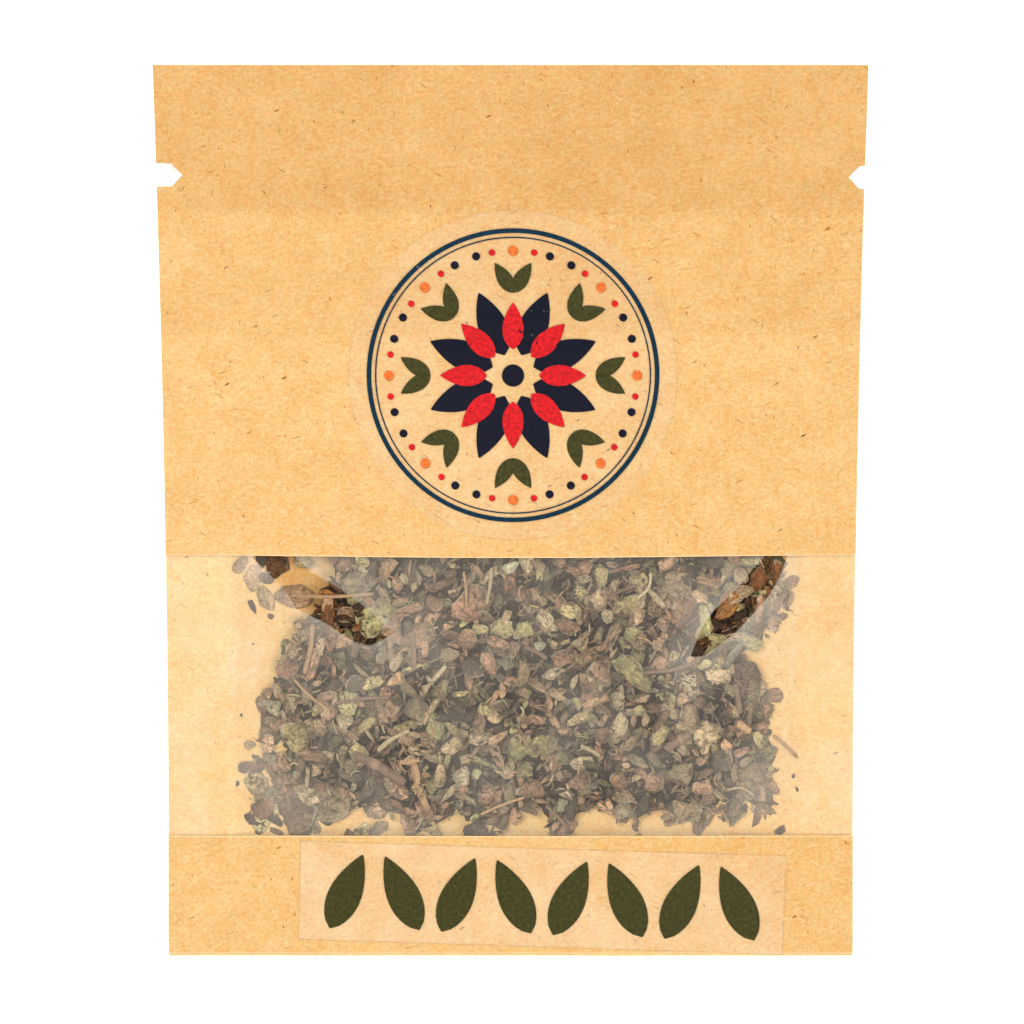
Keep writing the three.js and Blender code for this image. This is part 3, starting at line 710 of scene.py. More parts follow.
def clear_material(name, haze_tint, haze, shine, streaked):
    """Thin clear plastic: what is behind it, a haze that on the window film is a painted veil of
    reflected light, a painted shade line at its cut edge, and reflections.
    """
    material, tree, surface = new_material(name)
    haze_and_glare = use_group(tree, "Film bloom", haze_and_glare_group, {
        "Vector": place(tree), "Amount": product(tree, attribute(tree, "veil"), haze)})
    # It mirrors a twentieth of the light straight on, and all of it at a glancing angle.
    facing = add_node(tree, "ShaderNodeLayerWeight", {"Blend": 0.5}).outputs["Facing"]
    mirrored = weighted(tree, (sums(tree, "POWER", facing, 5.0), shine * 0.95), (1.0, shine * 0.05))
    shown = haze_and_glare["Haze"]
    # Painted reflection: the clear streaks lose both the veil and the mirrored light.
    if streaked:
        veiled = ramp(tree, attribute(tree, "streak"), -0.06, 0.06, 1, 0)
        shown = product(tree, shown, veiled)
        mirrored = product(tree, mirrored, veiled)
    # Painted shade: a dark line along the cut edge.
    edge = attribute(tree, "cut")
    tint = blend_colours(tree, edge, rgba(haze_tint), CUT_EDGE_SHADE)
    shown = sums(tree, "ADD", shown, product(tree, edge, 0.22), True)
    hazy_glare = add_node(tree, "ShaderNodeBsdfPrincipled", {
        "Base Color": tint, "Roughness": 0.6, "Specular IOR Level": 0.2, "Alpha": shown})
    gloss = add_node(tree, "ShaderNodeBsdfGlossy", {"Roughness": haze_and_glare["Roughness"]})
    sockets = {0: mirrored, 1: hazy_glare.outputs[0], 2: gloss.outputs[0]}
    mixed = add_node(tree, "ShaderNodeMixShader", sockets)
    tree.links.new(mixed.outputs[0], surface)
    return material


def clear_underside(name, tint):
    """The inner side of thin clear plastic, which adds hardly anything to what is seen."""
    material, tree, surface = new_material(name)
    faint = noise_at(tree, place(tree), 700, 1)
    end_in_shader(tree, surface, {
        "Base Color": rgba(tint), "Roughness": 0.5, "Specular IOR Level": 0.2,
        "Alpha": ramp(tree, faint, 0.3, 0.7, 0, 0.01)})
    return material


def leaf_material(name, tint, rim):
    material, tree, surface = new_material(name)
    leaf = use_group(tree, "Dried leaf", leaf_group, {
        "Colour": rgba(tint), "Rim": rgba(rim), "Leaf": attribute(tree, "leaf", "Vector"),
        "Tone": attribute(tree, "tone")})
    end_in_shader(tree, surface, {
        "Base Color": leaf["Colour"], "Roughness": 0.75, "Specular IOR Level": 0.25,
        "Normal": bump(tree, leaf["Height"], 0.3 * MM)})
    return material


def stem_material(name, tint):
    material, tree, surface = new_material(name)
    stem = use_group(tree, "Dried stem", stem_group, {
        "Colour": rgba(tint), "Along": attribute(tree, "leaf", "Vector"),
        "Tone": attribute(tree, "tone")})
    end_in_shader(tree, surface, {
        "Base Color": stem["Colour"], "Roughness": 0.7, "Specular IOR Level": 0.3,
        "Normal": bump(tree, stem["Height"], 0.06 * MM, 0.9)})
    return material


def ink_material(name, tint):
    """Digital print: slightly uneven ink under the sticker's gloss."""
    material, tree, surface = new_material(name)
    cover = noise_at(tree, place(tree), 2600, 3, 0.7)
    thin = tinted(tree, rgba(tint), 1.9, 1.8, 1.7)
    shade = blend_colours(tree, ramp(tree, cover, 0.4, 0.7, 0, 0.8), rgba(tint), thin)
    end_in_shader(tree, surface, {"Base Color": shade, "Roughness": 0.5, "Specular IOR Level": 0.1})
    return material


def plastic_material(name, tint):
    material, tree, surface = new_material(name)
    streak = noise_at(tree, place(tree), 1, 2, 0.5, stretch=(16 * MM, 0.3 * MM))
    duller = tinted(tree, rgba(tint), 0.86, 0.86, 0.84)
    end_in_shader(tree, surface, {
        "Base Color": blend_colours(tree, streak, duller, rgba(tint)),
        "Roughness": ramp(tree, streak, 0, 1, 0.3, 0.45),
        "Subsurface Weight": 0.2, "Subsurface Scale": 0.5 * MM,
        "Normal": bump(tree, streak, 0.02 * MM, 0.4)})
    return material


# ---------------------------------------------------------------- herb

# The herb's edge, seen from above, in millimetres. The window shows its lower part.
HERB_EDGE = [
    (-18.1, -3.4), (-19.3, -5.5), (-21.2, -7.1), (-21.5, -9.2), (-22, -11.6), (-23.3, -13.7),
    (-23.6, -16), (-25.9, -18.4), (-25.9, -20.3), (-25.7, -22.5), (-25.2, -23.8), (-27, -24.6),
    (-27.1, -26), (-26.6, -27.4), (-26.5, -30), (-27, -30.8), (-26, -32.2), (-16, -32.7), (-5, -32.5),
    (4, -32.8), (14, -32.5), (22, -32.4), (25.4, -31.2), (26.9, -29.8), (27.2, -28), (27, -25),
    (27, -22.4), (26.2, -20.7), (26.9, -18.4), (25.4, -16.2), (24, -15), (24, -12.8), (26.4, -11.6),
    (28.2, -9.2), (28.6, -6.6), (27.4, -4.8), (26, -4.2), (25.2, -3), (26.6, 0), (21.5, 6.5), (10, 9.4),
    (-3, 8.6), (-15, 9.2), (-23, 5.5), (-22, 0),
]
# Bare spots along the herb's edge, most of them at the bottom of the window: place and radius.
BARE_SPOTS = [
    (-15.8, -30.4, 1.2), (-11.7, -31.7, 1.1), (-18.3, -31.9, 0.9), (-5.6, -31.6, 1.4), (2.4, -31.7, 1.3),
    (0.4, -31.7, 0.9), (8.5, -31.5, 1.9), (11.4, -32, 1), (14.5, -31.7, 1.5), (17.6, -32, 1.2),
    (20.8, -31.9, 1.2), (24.2, -31.9, 1.6), (27, -31.9, 1.6), (-21.8, -23.2, 0.5), (-24.4, -27, 0.6),
    (-23.5, -23.5, 0.6), (-20.4, -8, 1.2), (-19, -6.2, 0.9), (-18.9, -4.8, 1.2), (-20.7, -9.2, 0.9),
]
# Larger leaf bits that stand out: place, radius, stretch, spin, colour, lightness and curl. The amber
# bits of lightness 0.1 to 0.12 are near-black, painted shadows in the gaps between flakes.
STANDING_OUT = [
    (-13.9, -10.2, 1.75, 1.1, 0.5, "green", 0.75, 0.4), (-12.9, -8.9, 1, 1.3, 1.2, "green", 0.7, 0.3),
    (-0.8, -10.8, 1.1, 1.1, 0.3, "green", 0.85, 0.3), (1.4, -11.1, 1.05, 1.1, 0.8, "green", 0.8, 0.2),
    (2.9, -12.4, 0.55, 1.2, 0.3, "cream", 0.7, 0.3), (1.4, -15.7, 1, 1.6, 1.4, "olive", 0.75, 1.6),
    (12.4, -15.4, 1.35, 1.9, -0.8, "green", 0.6, 0.7), (18.3, -20, 1.3, 1.1, 0.8, "olive", 0.85, 0.2),
    (-4.6, -26.1, 1.05, 1.1, 0.2, "cream", 0.75, 0.3), (14.8, -26.8, 1.15, 1.05, 0, "brown", 0.8, 0.35),
    (18, -29.6, 1.55, 1.1, 0.4, "olive", 0.8, 0.25), (24.6, -26.9, 1.55, 1.3, 1.3, "olive", 0.65, 0.3),
    (-15.2, -6.4, 1.5, 1.15, 0.1, "olive", 0.65, 0.2), (-12.2, -4.9, 1, 1.3, 1.3, "tan", 0.7, 0.3),
    (-11.6, -10.9, 1, 1.5, 0, "brown", 0.75, 0.1), (-4, -8.2, 1.9, 1.15, 0.5, "brown", 0.8, 0.25),
    (16.2, -6.9, 1.9, 1.2, 0.4, "olive", 0.75, 0.25), (17.3, -9.2, 1.6, 1.1, 1.1, "brown", 0.6, 0.3),
    (0.8, -22.9, 1.3, 1.1, 0.6, "green", 0.6, 0.3), (3.4, -22.6, 1.3, 1, 0.2, "green", 0.5, 0.5),
    (-22, -22.1, 1.6, 1.1, 1.4, "green", 0.6, 0.25), (-22.2, -30.2, 2.1, 1.2, 0.3, "dark", 0.9, 0.2),
    (-18.9, -29.7, 2.2, 1.15, 0.7, "olive", 0.75, 0.35), (-25.2, -29.4, 1.2, 1.1, 1.1, "brown", 0.5, 0.3),
    (-20.4, -21.6, 0.9, 1.9, 0.3, "olive", 0.7, 1.2), (-22.6, -15.2, 1.1, 1.1, 0.9, "brown", 0.65, 0.2),
    (-20.6, -17.6, 0.9, 1.5, 1.4, "olive", 0.8, 1.5), (-15.6, -16.6, 1, 1.1, 0.5, "dark", 1, 0.3),
    (11.6, -8.4, 1.3, 1.2, 0.4, "green", 0.65, 0.4), (8.9, -5.6, 0.9, 1.4, 1.3, "green", 0.75, 0.6),
    (13, -19.2, 0.6, 1.1, 0.2, "green", 0.95, 0.3), (19.6, -14.7, 0.6, 1.3, 0.6, "green", 1.25, 0.3),
    (23.6, -15.8, 1.5, 1.1, 0.2, "dark", 1, 0.3), (5.3, -29.1, 0.6, 1.6, 1.2, "cream", 0.5, 0.3),
    (-9.6, -19.4, 1.4, 1.1, 0.9, "olive", 0.6, 0.3), (-12.4, -19.2, 1.5, 1, 0.3, "tan", 0.6, 0.2),
    (-7.6, -20.9, 1, 1.4, 1.9, "green", 0.7, 0.5), (8.3, -17.6, 1.2, 1.1, 1, "brown", 0.6, 0.3),
    (-16, -24.9, 0.8, 1.3, 1.2, "olive", 0.65, 0.8), (2, -27.8, 1.2, 1.2, 0.4, "brown", 0.7, 0.2),
    (6.9, -26.4, 1.1, 1.2, 0.2, "brown", 0.6, 0.2), (10.8, -26.8, 1.1, 1.1, 0.9, "tan", 0.5, 0.3),
    (21.4, -24.6, 1.2, 1.1, 0.5, "dark", 0.9, 0.3), (15.3, -21.9, 1, 1.3, 1, "green", 0.8, 0.3),
    (-18.3, -9.6, 1.2, 1.3, 1.3, "amber", 0.35, 0.8), (-16.4, -9.5, 1, 1.2, 0.3, "tan", 0.7, 1.2),
    (-9, -11.4, 1.4, 1.1, 0.6, "tan", 0.6, 0.3), (-6.2, -13.4, 0.8, 1.3, 0.5, "olive", 0.8, 0.4),
    (-20.2, -11.6, 1.1, 1.3, 0.2, "olive", 0.9, 0.9), (-17, -12.2, 0.9, 1.4, 0.3, "tan", 0.8, 0.8),
    (-16.9, -10.2, 0.8, 1.3, 0.2, "amber", 0.12, 0.3), (-15.2, -9, 0.7, 1.2, 1.1, "amber", 0.12, 0.3),
    (-17.6, -6.6, 0.35, 3, -0.6, "amber", 0.3, 0.3), (-18.4, -8.6, 0.6, 1.7, 1.3, "tan", 0.8, 0.3),
    (21, -10.4, 0.6, 1.8, -0.5, "amber", 0.12, 0.3), (23.1, -9.7, 0.5, 1.6, 0.5, "amber", 0.1, 0.3),
    (18.7, -13, 0.6, 1.3, 0.2, "amber", 0.12, 0.3), (21.5, -8.6, 1.3, 1.5, 0.9, "amber", 0.75, 0.2),
    (23.2, -7.6, 1.2, 1.2, 0.4, "tan", 0.75, 0.2), (24.6, -6.2, 1.1, 1.3, 0.8, "amber", 0.5, 0.4),
    (19.5, -11.4, 0.9, 1.3, 0.8, "green", 0.65, 0.4), (20.9, -11.8, 0.8, 1.3, -0.4, "green", 0.7, 1.1),
]
# Bits that lie on the back panel, away from the heap, in the same order.
STRAYS = [
    (-27, -4.6, 0.8, 1.2, 0.9, "tan", 0.8, 0.1), (-25.8, -5.9, 1, 1.3, 1.4, "tan", 1, 0.1),
    (-24.7, -6, 0.7, 1.3, 0.2, "dark", 1, 0.1), (-24, -4.6, 1.5, 1.1, 0.4, "amber", 0.3, 0.2),
    (-25.1, -4.1, 0.7, 1.3, 1.2, "dark", 0.7, 0.2), (-24.6, -8.3, 0.8, 2.1, 1.8, "olive", 1.15, 0.15),
    (-24.2, -9.8, 0.3, 1.2, 1.8, "brown", 0.6, 0.2), (-26.1, -8.6, 0.3, 3, 1.95, "dark", 0.8, 0.1),
    (-26, -12.6, 0.1, 1.2, 0, "brown", 0.4, 0), (-23.9, -16.2, 0.12, 1.2, 1, "dark", 0.6, 0),
    (-27.2, -19.9, 0.16, 1.2, 2, "dark", 0.7, 0), (-26.6, -23, 0.45, 1.7, 0.1, "tan", 1, 0.1),
    (-27.1, -25.3, 0.6, 1.15, 0.8, "dark", 0.9, 0.1), (-27.7, -27, 0.16, 2.4, 1.5, "dark", 0.7, 0),
    (-25.5, -31.9, 0.35, 1.8, 0.2, "dark", 0.5, 0.1), (28.7, -26.2, 0.16, 1.6, 1.2, "dark", 0.5, 0),
    (29.1, -27.5, 0.18, 1.7, 1.7, "dark", 0.5, 0), (27.4, -31.8, 0.5, 1.2, 0.5, "dark", 0.8, 0.1),
    (26.4, -30.2, 0.12, 1.1, 0, "brown", 0.4, 0), (-22.8, -4.3, 0.2, 1.2, 0, "dark", 0.4, 0),
    (-20.6, -4.1, 0.85, 1.25, 0.2, "green", 0.8, 0.1), (-21.9, -7.9, 1.2, 1.6, 0.1, "tan", 0.6, 0.2),
    (-25.6, -27.2, 1, 1.1, 0.3, "olive", 0.9, 0.1), (28.3, -6.2, 0.6, 1.5, 0.9, "brown", 0.8, 0.1),
    (27.6, -8, 0.8, 1.3, 1.3, "brown", 0.9, 0.1), (26.1, -8.4, 1.2, 1.2, 1.2, "olive", 1, 0.1),
    (26.9, -4.2, 0.9, 1.1, 0.2, "green", 0.3, 0.1), (-22.6, -12.9, 0.7, 1.2, 1.6, "green", 0.7, 0.1),
    (26.8, -17.9, 0.8, 1.2, 0.2, "brown", 0.8, 0.1),
]
# Share of the stalks, and of the loose flakes, that have each colour.
STEM_MIX = {"stem": 0.35, "bark": 0.4, "straw": 0.25}
FLAKE_MIX = {"olive": 0.32, "brown": 0.27, "green": 0.15, "dark": 0.11, "tan": 0.11, "rust": 0.015,
             "cream": 0.025, "amber": 0}
# Share of the loose flakes that have each colour where the painted glare on the film is left out.
CLEAR_MIX = {"olive": 0, "brown": 0, "green": 0.1, "dark": 0, "tan": 0.1, "rust": 0,
             "cream": 0, "amber": 0.8}
# Lightness of the loose flakes of some colours, against the others.
FLAKE_LIGHTNESS = {"olive": 1.08, "green": 0.97, "brown": 0.93, "tan": 0.98, "cream": 0.7}

# Bits of stem: both ends, thickness, width of a dark knot at the far end, place along it of a
# pale joint, bend and material.
TWIGS = [
    ((-19.9, -10.6), (-20.8, -15.5), 0.5, 0, 0, 0.15, "stem"),
    ((-21.8, -7.6), (-13.7, -7.3), 0.36, 0, 0, -0.1, "stem"),
    ((-15.9, -23.7), (-10.8, -26.9), 1.05, 0, 0.4, 0.1, "bark"),
    ((-9.9, -24.2), (-8.3, -30.4), 0.85, 1.25, 0, -0.1, "stem"),
    ((-13.4, -23.4), (-10.2, -21.3), 0.5, 0, 0, 0.25, "straw"),
    ((13.4, -15.3), (19.1, -14.1), 0.38, 0, 0, -0.25, "bark"),
    ((7.3, -18.7), (9.9, -17.7), 0.85, 1.05, 0, 0, "stem"),
    ((7.1, -22.8), (9, -23.9), 0.42, 0, 0, 0.1, "straw"),
    ((15.7, -23.3), (18.2, -21.7), 1, 0, 0.6, 0, "bark"),
    ((22.9, -20.6), (24.2, -21.6), 0.85, 0, 0, 0, "stem"),
    ((-12.5, -11.9), (-10, -12.2), 0.95, 0, 0.5, 0.1, "bark"),
    ((-7.8, -16.1), (-6.5, -14.6), 0.45, 0, 0, 0, "straw"),
]
# Finer stalks that stand out, in the same order.
FINE_STALKS = [
    ((-9.2, -24.3), (-11.2, -24.6), 0.5, 0, 0, 0.2, "stem"),
    ((-21.8, -16.2), (-18.2, -19.3), 0.3, 0, 0, -0.2, "stem"),
    ((-17.8, -18.6), (-12.2, -17.9), 0.3, 0, 0, 0.15, "bark"),
    ((-9.9, -11.2), (-9.7, -15), 0.45, 0, 0, 0.1, "bark"),
    ((-1.9, -4.6), (-2.4, -8.2), 0.35, 0, 0, 0.1, "straw"),
    ((-4.7, -5), (-4.4, -8.6), 0.25, 0, 0, 0.1, "stem"),
    ((10.1, -7.4), (12.7, -6.4), 0.3, 0, 0, 0.1, "bark"),
    ((1.4, -12.6), (3.6, -13.8), 0.5, 0, 0, 0.2, "bark"),
    ((22.7, -16.6), (23.2, -19.6), 0.6, 0, 0, 0, "bark"),
    ((26.6, -22), (29, -24.2), 0.35, 0, 0, 0.1, "stem"),
    ((14, -5.2), (12.7, -7.7), 0.28, 0, 0, 0.7, "straw"),
    ((22, -27.6), (24.7, -28.2), 0.22, 0, 0, 0.7, "straw"),
    ((3.6, -29.2), (5.8, -31.6), 0.4, 0, 0, 0.1, "bark"),
    ((-3, -30.1), (1.4, -28.3), 0.3, 0, 0, 0.1, "stem"),
]
# Places where the painted glare on the film is left out, as outlines in millimetres.
CLEAR_STREAKS = [
    [(-26.3, -2), (-25.8, -3.8), (-23.6, -6), (-22.4, -7.4), (-21.5, -8.9), (-18.4, -10.4),
     (-15.7, -12.2), (-14, -12.5), (-11.5, -11.2), (-12.6, -10.4), (-14.6, -8.6), (-16.4, -7.2),
     (-18.3, -6.1), (-20, -5.1), (-21.9, -3.2), (-21.9, -2)],
    [(25.5, -2), (25.4, -3.7), (24.3, -4.8), (23.1, -6.4), (20.4, -9), (19.1, -10.9), (18, -13.8),
     (19.5, -13.6), (22.6, -11.3), (24.6, -9.2), (26.2, -7.2), (27.1, -5.4), (27.8, -3.4),
     (27.8, -2)],
]
# Layers of loose flakes: how closely they crowd, and lowest and highest Y in millimetres.
TOP_LAYER = (0.62, -32.6, 9)
LOWER_LAYER = (0.4, -31.5, 8)
CRUMB_LAYER = (0.3, -32.3, 4)
HERB_HALF_WIDTH = 28  # in millimetres
TRIES = 14  # spots that are tried for each flake
LEDGE = -30 * MM  # the layer is thin below it, along the bottom of the window
LEDGE_BARE = 0.4  # share of the spots there that stay bare
MOST_TILT = 1.1  # of a loose flake, in radians
SLIVER_RADIUS = 0.5 * MM  # smaller bits are drawn out to slivers
UNDER_FILM = 0.08 * MM  # clearances of the flakes
OVER_BACK = 0.03 * MM
STEM_UNDER_FILM = 0.1 * MM  # the same for the stems
STEM_OVER_BACK = 0.05 * MM
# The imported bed: its centre, how far it is drawn in across and along, and its lowest Y.
BED_CENTRE = (0.6 * MM, -11.5 * MM)
BED_DRAWN_IN = (0.88, 1)
BED_LOWEST = -29.6 * MM
# From the film down to the bed, on average and at least, and the height of the bed's lumps.
BED_DEPTH = 1.15 * MM
BED_LEAST_DEPTH = 0.5 * MM
BED_RELIEF = 0.28 * MM
STALK_TRIES = 150
STALK_AREA = ((-25, -31), (26, 7))  # where loose stalks start, in millimetres
STALK_SEED = 29
STRAY_SEED = 41


def inside(points, outline):
    """Whether each point is in an outline."""
    x, y = np.asarray(points, float).T
    result = np.zeros(len(x), bool)
    for (x0, y0), (x1, y1) in zip(outline, outline[1:] + outline[:1]):
        crosses = (y0 > y) != (y1 > y)
        with np.errstate(divide="ignore", invalid="ignore"):
            result ^= crosses & (x < (x1 - x0) * (y - y0) / (y1 - y0) + x0)
    return result


class Gathered:
    """Flakes or stems of one material, gathered into one mesh."""

    def __init__(self):
        self.points, self.faces, self.leaf, self.tone = [], [], [], []
        self.count = 0

    def add(self, points, faces, leaf, tone):
        self.faces += [[n + self.count for n in face] for face in faces]
        self.points.append(points)
        self.leaf.append(leaf)
        self.tone.append(np.broadcast_to(tone, len(points)))
        self.count += len(points)

    def piece(self, name, slot, material, replaced=()):
        points = np.concatenate(self.points)
        made = new_piece(name, points, self.faces, material, replaced, crisp=50)
        write_attribute(made, "leaf", np.concatenate(self.leaf), "FLOAT_VECTOR")
        write_attribute(made, "tone", np.concatenate(self.tone))


def flake_faces(sides):
    """Faces of a flake: centre, two inner rings and rim on top, then centre and rim beneath."""
    faces = []
    for i in range(sides):
        j = (i + 1) % sides
        rings = [(1 + ring * sides + i, 1 + ring * sides + j) for ring in range(3)]
        low, low_next = 2 + 3 * sides + i, 2 + 3 * sides + j
        faces.append((0, *rings[0]))
        for (near, near_next), (far, far_next) in zip(rings, rings[1:]):
            faces.append((near, far, far_next, near_next))
        faces += [(low, low_next, rings[2][1], rings[2][0]), (1 + 3 * sides, low_next, low)]
    return faces


FLAKE_SIDES = (8, 11, 16)
FLAKE_STEPS = (0.42 * MM, 0.9 * MM)  # radii over which a flake has more sides
FLAKE_FACES = {sides: flake_faces(sides) for sides in FLAKE_SIDES}
RING_SHARES = (0.45, 0.82, 1)


def flake(rng, radius, stretch, spin, curl, torn, most_sides):
    """Sides of a leaf flake, its top points about its middle, and their places in the leaf.
    Larger flakes have more sides, up to the most that they may have."""
    sides = FLAKE_SIDES[sum(radius > step for step in FLAKE_STEPS)]
    sides = min(sides, most_sides)
    angle = (np.arange(sides) + rng.uniform(-0.35, 0.35, sides)) * math.tau / sides
    reach = 1 + rng.normal(0, 0.08, sides)
    for _ in range(torn):
        facing, away = rng.uniform(0, math.tau), rng.uniform(0.35, 0.85)
        slope = np.cos(angle - facing)
        reach = np.where(slope > 0.05, np.minimum(reach, away / np.maximum(slope, 0.05)), reach)
    rim = np.stack([reach * np.cos(angle) * stretch, reach * np.sin(angle)], 1)
    rings = [rim * share + rng.normal(0, 0.03, rim.shape) for share in RING_SHARES]
    flat = np.concatenate([np.zeros((1, 2)), *rings]) * radius
    share = np.append(0, np.repeat(RING_SHARES, sides))
    turns = np.append(0, np.tile(angle, 3))
    leaf = np.column_stack([share * np.cos(turns), share * np.sin(turns),
                            np.full(len(flat), rng.uniform(0, 40))])
    # It curls across one line and is folded along another.
    line = rng.uniform(-0.5, 0.5)
    across = flat[:, 1] * math.cos(line) + flat[:, 0] * math.sin(line) / stretch
    bow = radius / max(curl, 0.05)
    rolled = np.sin(np.clip(across / bow, -2.6, 2.6)) * bow - across
    up = (1 - np.cos(np.clip(across / bow, -2.6, 2.6))) * bow * rng.choice((-1, -1, 1))
    up = up + rng.uniform(-0.45, 0.2) * np.abs(flat[:, 1]) * (rng.random() < 0.5)
    lip = np.maximum(np.cos(turns - rng.uniform(0, math.tau)), 0) * (share > 0.95)
    lip = lip * rng.uniform(0, 0.3)
    wavy = (rng.normal(0, 0.1, len(flat)) * share + lip) * radius
    local = np.column_stack([flat[:, 0], flat[:, 1] + rolled * math.cos(line), up + wavy])
    cos, sin = math.cos(spin), math.sin(spin)
    local = local @ np.array([[cos, sin, 0], [-sin, cos, 0], [0, 0, 1]])
    return sides, local, leaf


def tilted(local, tilt, towards):
    """Points leaned over by an angle, towards a direction."""
    cos, sin = math.cos(tilt), math.sin(tilt)
    across = local[:, 0] * math.cos(towards) + local[:, 1] * math.sin(towards)
    up = local[:, 2] * cos - across * sin
    shift = across * (cos - 1) + local[:, 2] * sin
    return np.column_stack([local[:, 0] + shift * math.cos(towards),
                            local[:, 1] + shift * math.sin(towards), up])


def seat_flake(pouch, into, rng, spot, shape, tilt, depth, thick, tone):
    """Lays a flake under the film, at a depth, and over the back panel."""
    sides, local, leaf = shape
    local = tilted(local, tilt, rng.uniform(0, math.tau))
    x, y = local[:, 0] + spot[0], local[:, 1] + spot[1]
    ceiling = pouch.film_inner(x, y) - UNDER_FILM
    floor = pouch.back_inner(x, y) + OVER_BACK + thick
    up = local[:, 2] + np.min(ceiling - depth - local[:, 2])
    up = np.minimum(np.maximum(up, floor), np.maximum(ceiling, floor))
    top = np.column_stack([x, y, up])
    outer = [0, *range(1 + 2 * sides, 1 + 3 * sides)]
    below = top[outer] - (0, 0, thick)
    leaf = np.concatenate([leaf, leaf[outer]])
    # Painted shading: it is lighter towards one side, as if lit from there, and dark at the rim as a
    # painted contact shadow.
    painted_light_side = rng.uniform(0, math.tau)
    shade = 1.1 + 0.28 * (leaf[:, 0] * math.cos(painted_light_side) + leaf[:, 1] * math.sin(painted_light_side))
    shade = shade * (1 - 0.45 * (np.hypot(leaf[:, 0], leaf[:, 1]) > 0.95))
    into.add(np.concatenate([top, below]), FLAKE_FACES[sides], leaf, tone * shade)


def spread_spots(rng, radii, crowding, low, high, taken=()):
    """Random spots in the herb, no closer than their flakes' radii allow, with those radii.
    Taken are spots and radii that are in use already."""
    radii = np.sort(radii)[::-1]
    corners = (-HERB_HALF_WIDTH, low), (HERB_HALF_WIDTH, high)
    spots = rng.uniform(*corners, (len(radii), TRIES, 2)) * MM
    reach = 0.75 * radii[:, None] * np.sign(spots[..., 0])
    outer = np.stack([spots[..., 0] + reach, spots[..., 1]], -1).reshape(-1, 2) / MM
    fits = inside(outer, HERB_EDGE).reshape(spots.shape[:2])
    for x, y, radius in BARE_SPOTS:
        away = np.hypot(spots[..., 0] / MM - x, spots[..., 1] / MM - y)
        fits &= away > radius + 0.35 * radii[:, None] / MM
    fits &= (spots[..., 1] > LEDGE) | (rng.random(fits.shape) > LEDGE_BARE)
    kept = np.zeros((len(taken) + len(radii), 3))
    kept[:len(taken)] = np.reshape(taken, (-1, 3))
    count = len(taken)
    for radius, tries, good in zip(radii, spots, fits):
        for spot in tries[good]:
            used = kept[:count]
            if np.all(np.hypot(*(used[:, :2] - spot).T) > (used[:, 2] + radius) * crowding):
                kept[count] = (*spot, radius)
                count += 1
                break
    return kept[len(taken):count]


def placed_flakes(pouch, sets, rng, table, tilt, depth, thick):
    """The flakes of a table, which have places of their own."""
    for x, y, radius, stretch, spin, name, tone, curl in table:
        shape = flake(rng, radius * MM, stretch, spin, curl, 1, FLAKE_SIDES[2])
        into = sets.setdefault(name, Gathered())
        seat_flake(pouch, into, rng, (x * MM, y * MM), shape, tilt, depth, thick, tone)


def loose_flake(pouch, sets, rng, spot, radius, depth, tilt, thick, lightness, slim=1):
    """One flake with a random shape, colour and lightness. A slim one is drawn out to a sliver."""
    clear = any(inside([np.array(spot) / MM], streak)[0] for streak in CLEAR_STREAKS)
    names, shares = zip(*(CLEAR_MIX if clear else FLAKE_MIX).items())
    name = rng.choice(names, p=shares)
    curl = rng.uniform(0.1, 0.8) if rng.random() < 0.6 else rng.uniform(0.9, 2.4)
    spans = rng.uniform(1, 1.4), rng.uniform(1.4, 2.1), rng.uniform(2.1, 3.4)
    stretch = rng.choice(spans, p=(0.5, 0.34, 0.16)) * slim
    if radius < SLIVER_RADIUS:
        stretch = stretch * 1.5
    spin = rng.uniform(0, math.tau)
    shape = flake(rng, radius / stretch ** 0.5, stretch, spin, curl, rng.integers(1, 5),
                  FLAKE_SIDES[1])
    # Under the clear streaks the loose flakes are darker, as painted shade.
    tone = lightness * (rng.uniform(0.3, 1.0) if clear else rng.uniform(0.5, 1.45))
    tone = tone * FLAKE_LIGHTNESS.get(name, 1)
    seat_flake(pouch, sets[name], rng, spot, shape, tilt, depth, thick, tone)


def herb_sets(pouch, herb):
    """All the flakes of the heap, gathered by colour."""
    rng = np.random.default_rng(herb.seed)
    sets = {name: Gathered() for name in FLAKE_MIX}
    thick = herb.flake_thick
    placed_flakes(pouch, sets, rng, STANDING_OUT, 0.05, 0, thick)
    middling = math.log(herb.flake_radius)
    radii = np.clip(rng.lognormal(middling, 0.42, herb.top_flakes), 0.26 * MM, 1.8 * MM)
    taken = [[size * MM for size in placed[:3]] for placed in STANDING_OUT]
    for x, y, radius in spread_spots(rng, radii, *TOP_LAYER, taken):
        tilt = min(abs(rng.normal(0, 0.45)), MOST_TILT)
        depth = rng.uniform(0.02, 0.4) * MM
        loose_flake(pouch, sets, rng, (x, y), radius, depth, tilt, thick, 1)
    radii = np.clip(rng.lognormal(middling, 0.36, herb.under_flakes), 0.3 * MM, 1.6 * MM)
    for x, y, radius in spread_spots(rng, radii, *LOWER_LAYER):
        tilt = min(abs(rng.normal(0, 0.4)), MOST_TILT)
        depth = rng.uniform(0.5, 1.1) * MM
        # Painted shade: the lower flakes are darker, as the shade deep in the heap.
        lightness = rng.uniform(0.25, 0.75)
        loose_flake(pouch, sets, rng, (x, y), radius, depth, tilt, thick, lightness)
    radii = rng.uniform(0.12 * MM, 0.34 * MM, herb.dust)
    for x, y, radius in spread_spots(rng, radii, *CRUMB_LAYER):
        tilt = rng.uniform(0, 1)
        depth = rng.uniform(0, 0.5) * MM
        slim = rng.choice((1, 2.6))
        lightness = rng.uniform(0.3, 0.9) if slim == 1 else rng.uniform(0.5, 1.4)
        loose_flake(pouch, sets, rng, (x, y), radius, depth, tilt, thick, lightness, slim)
    return sets


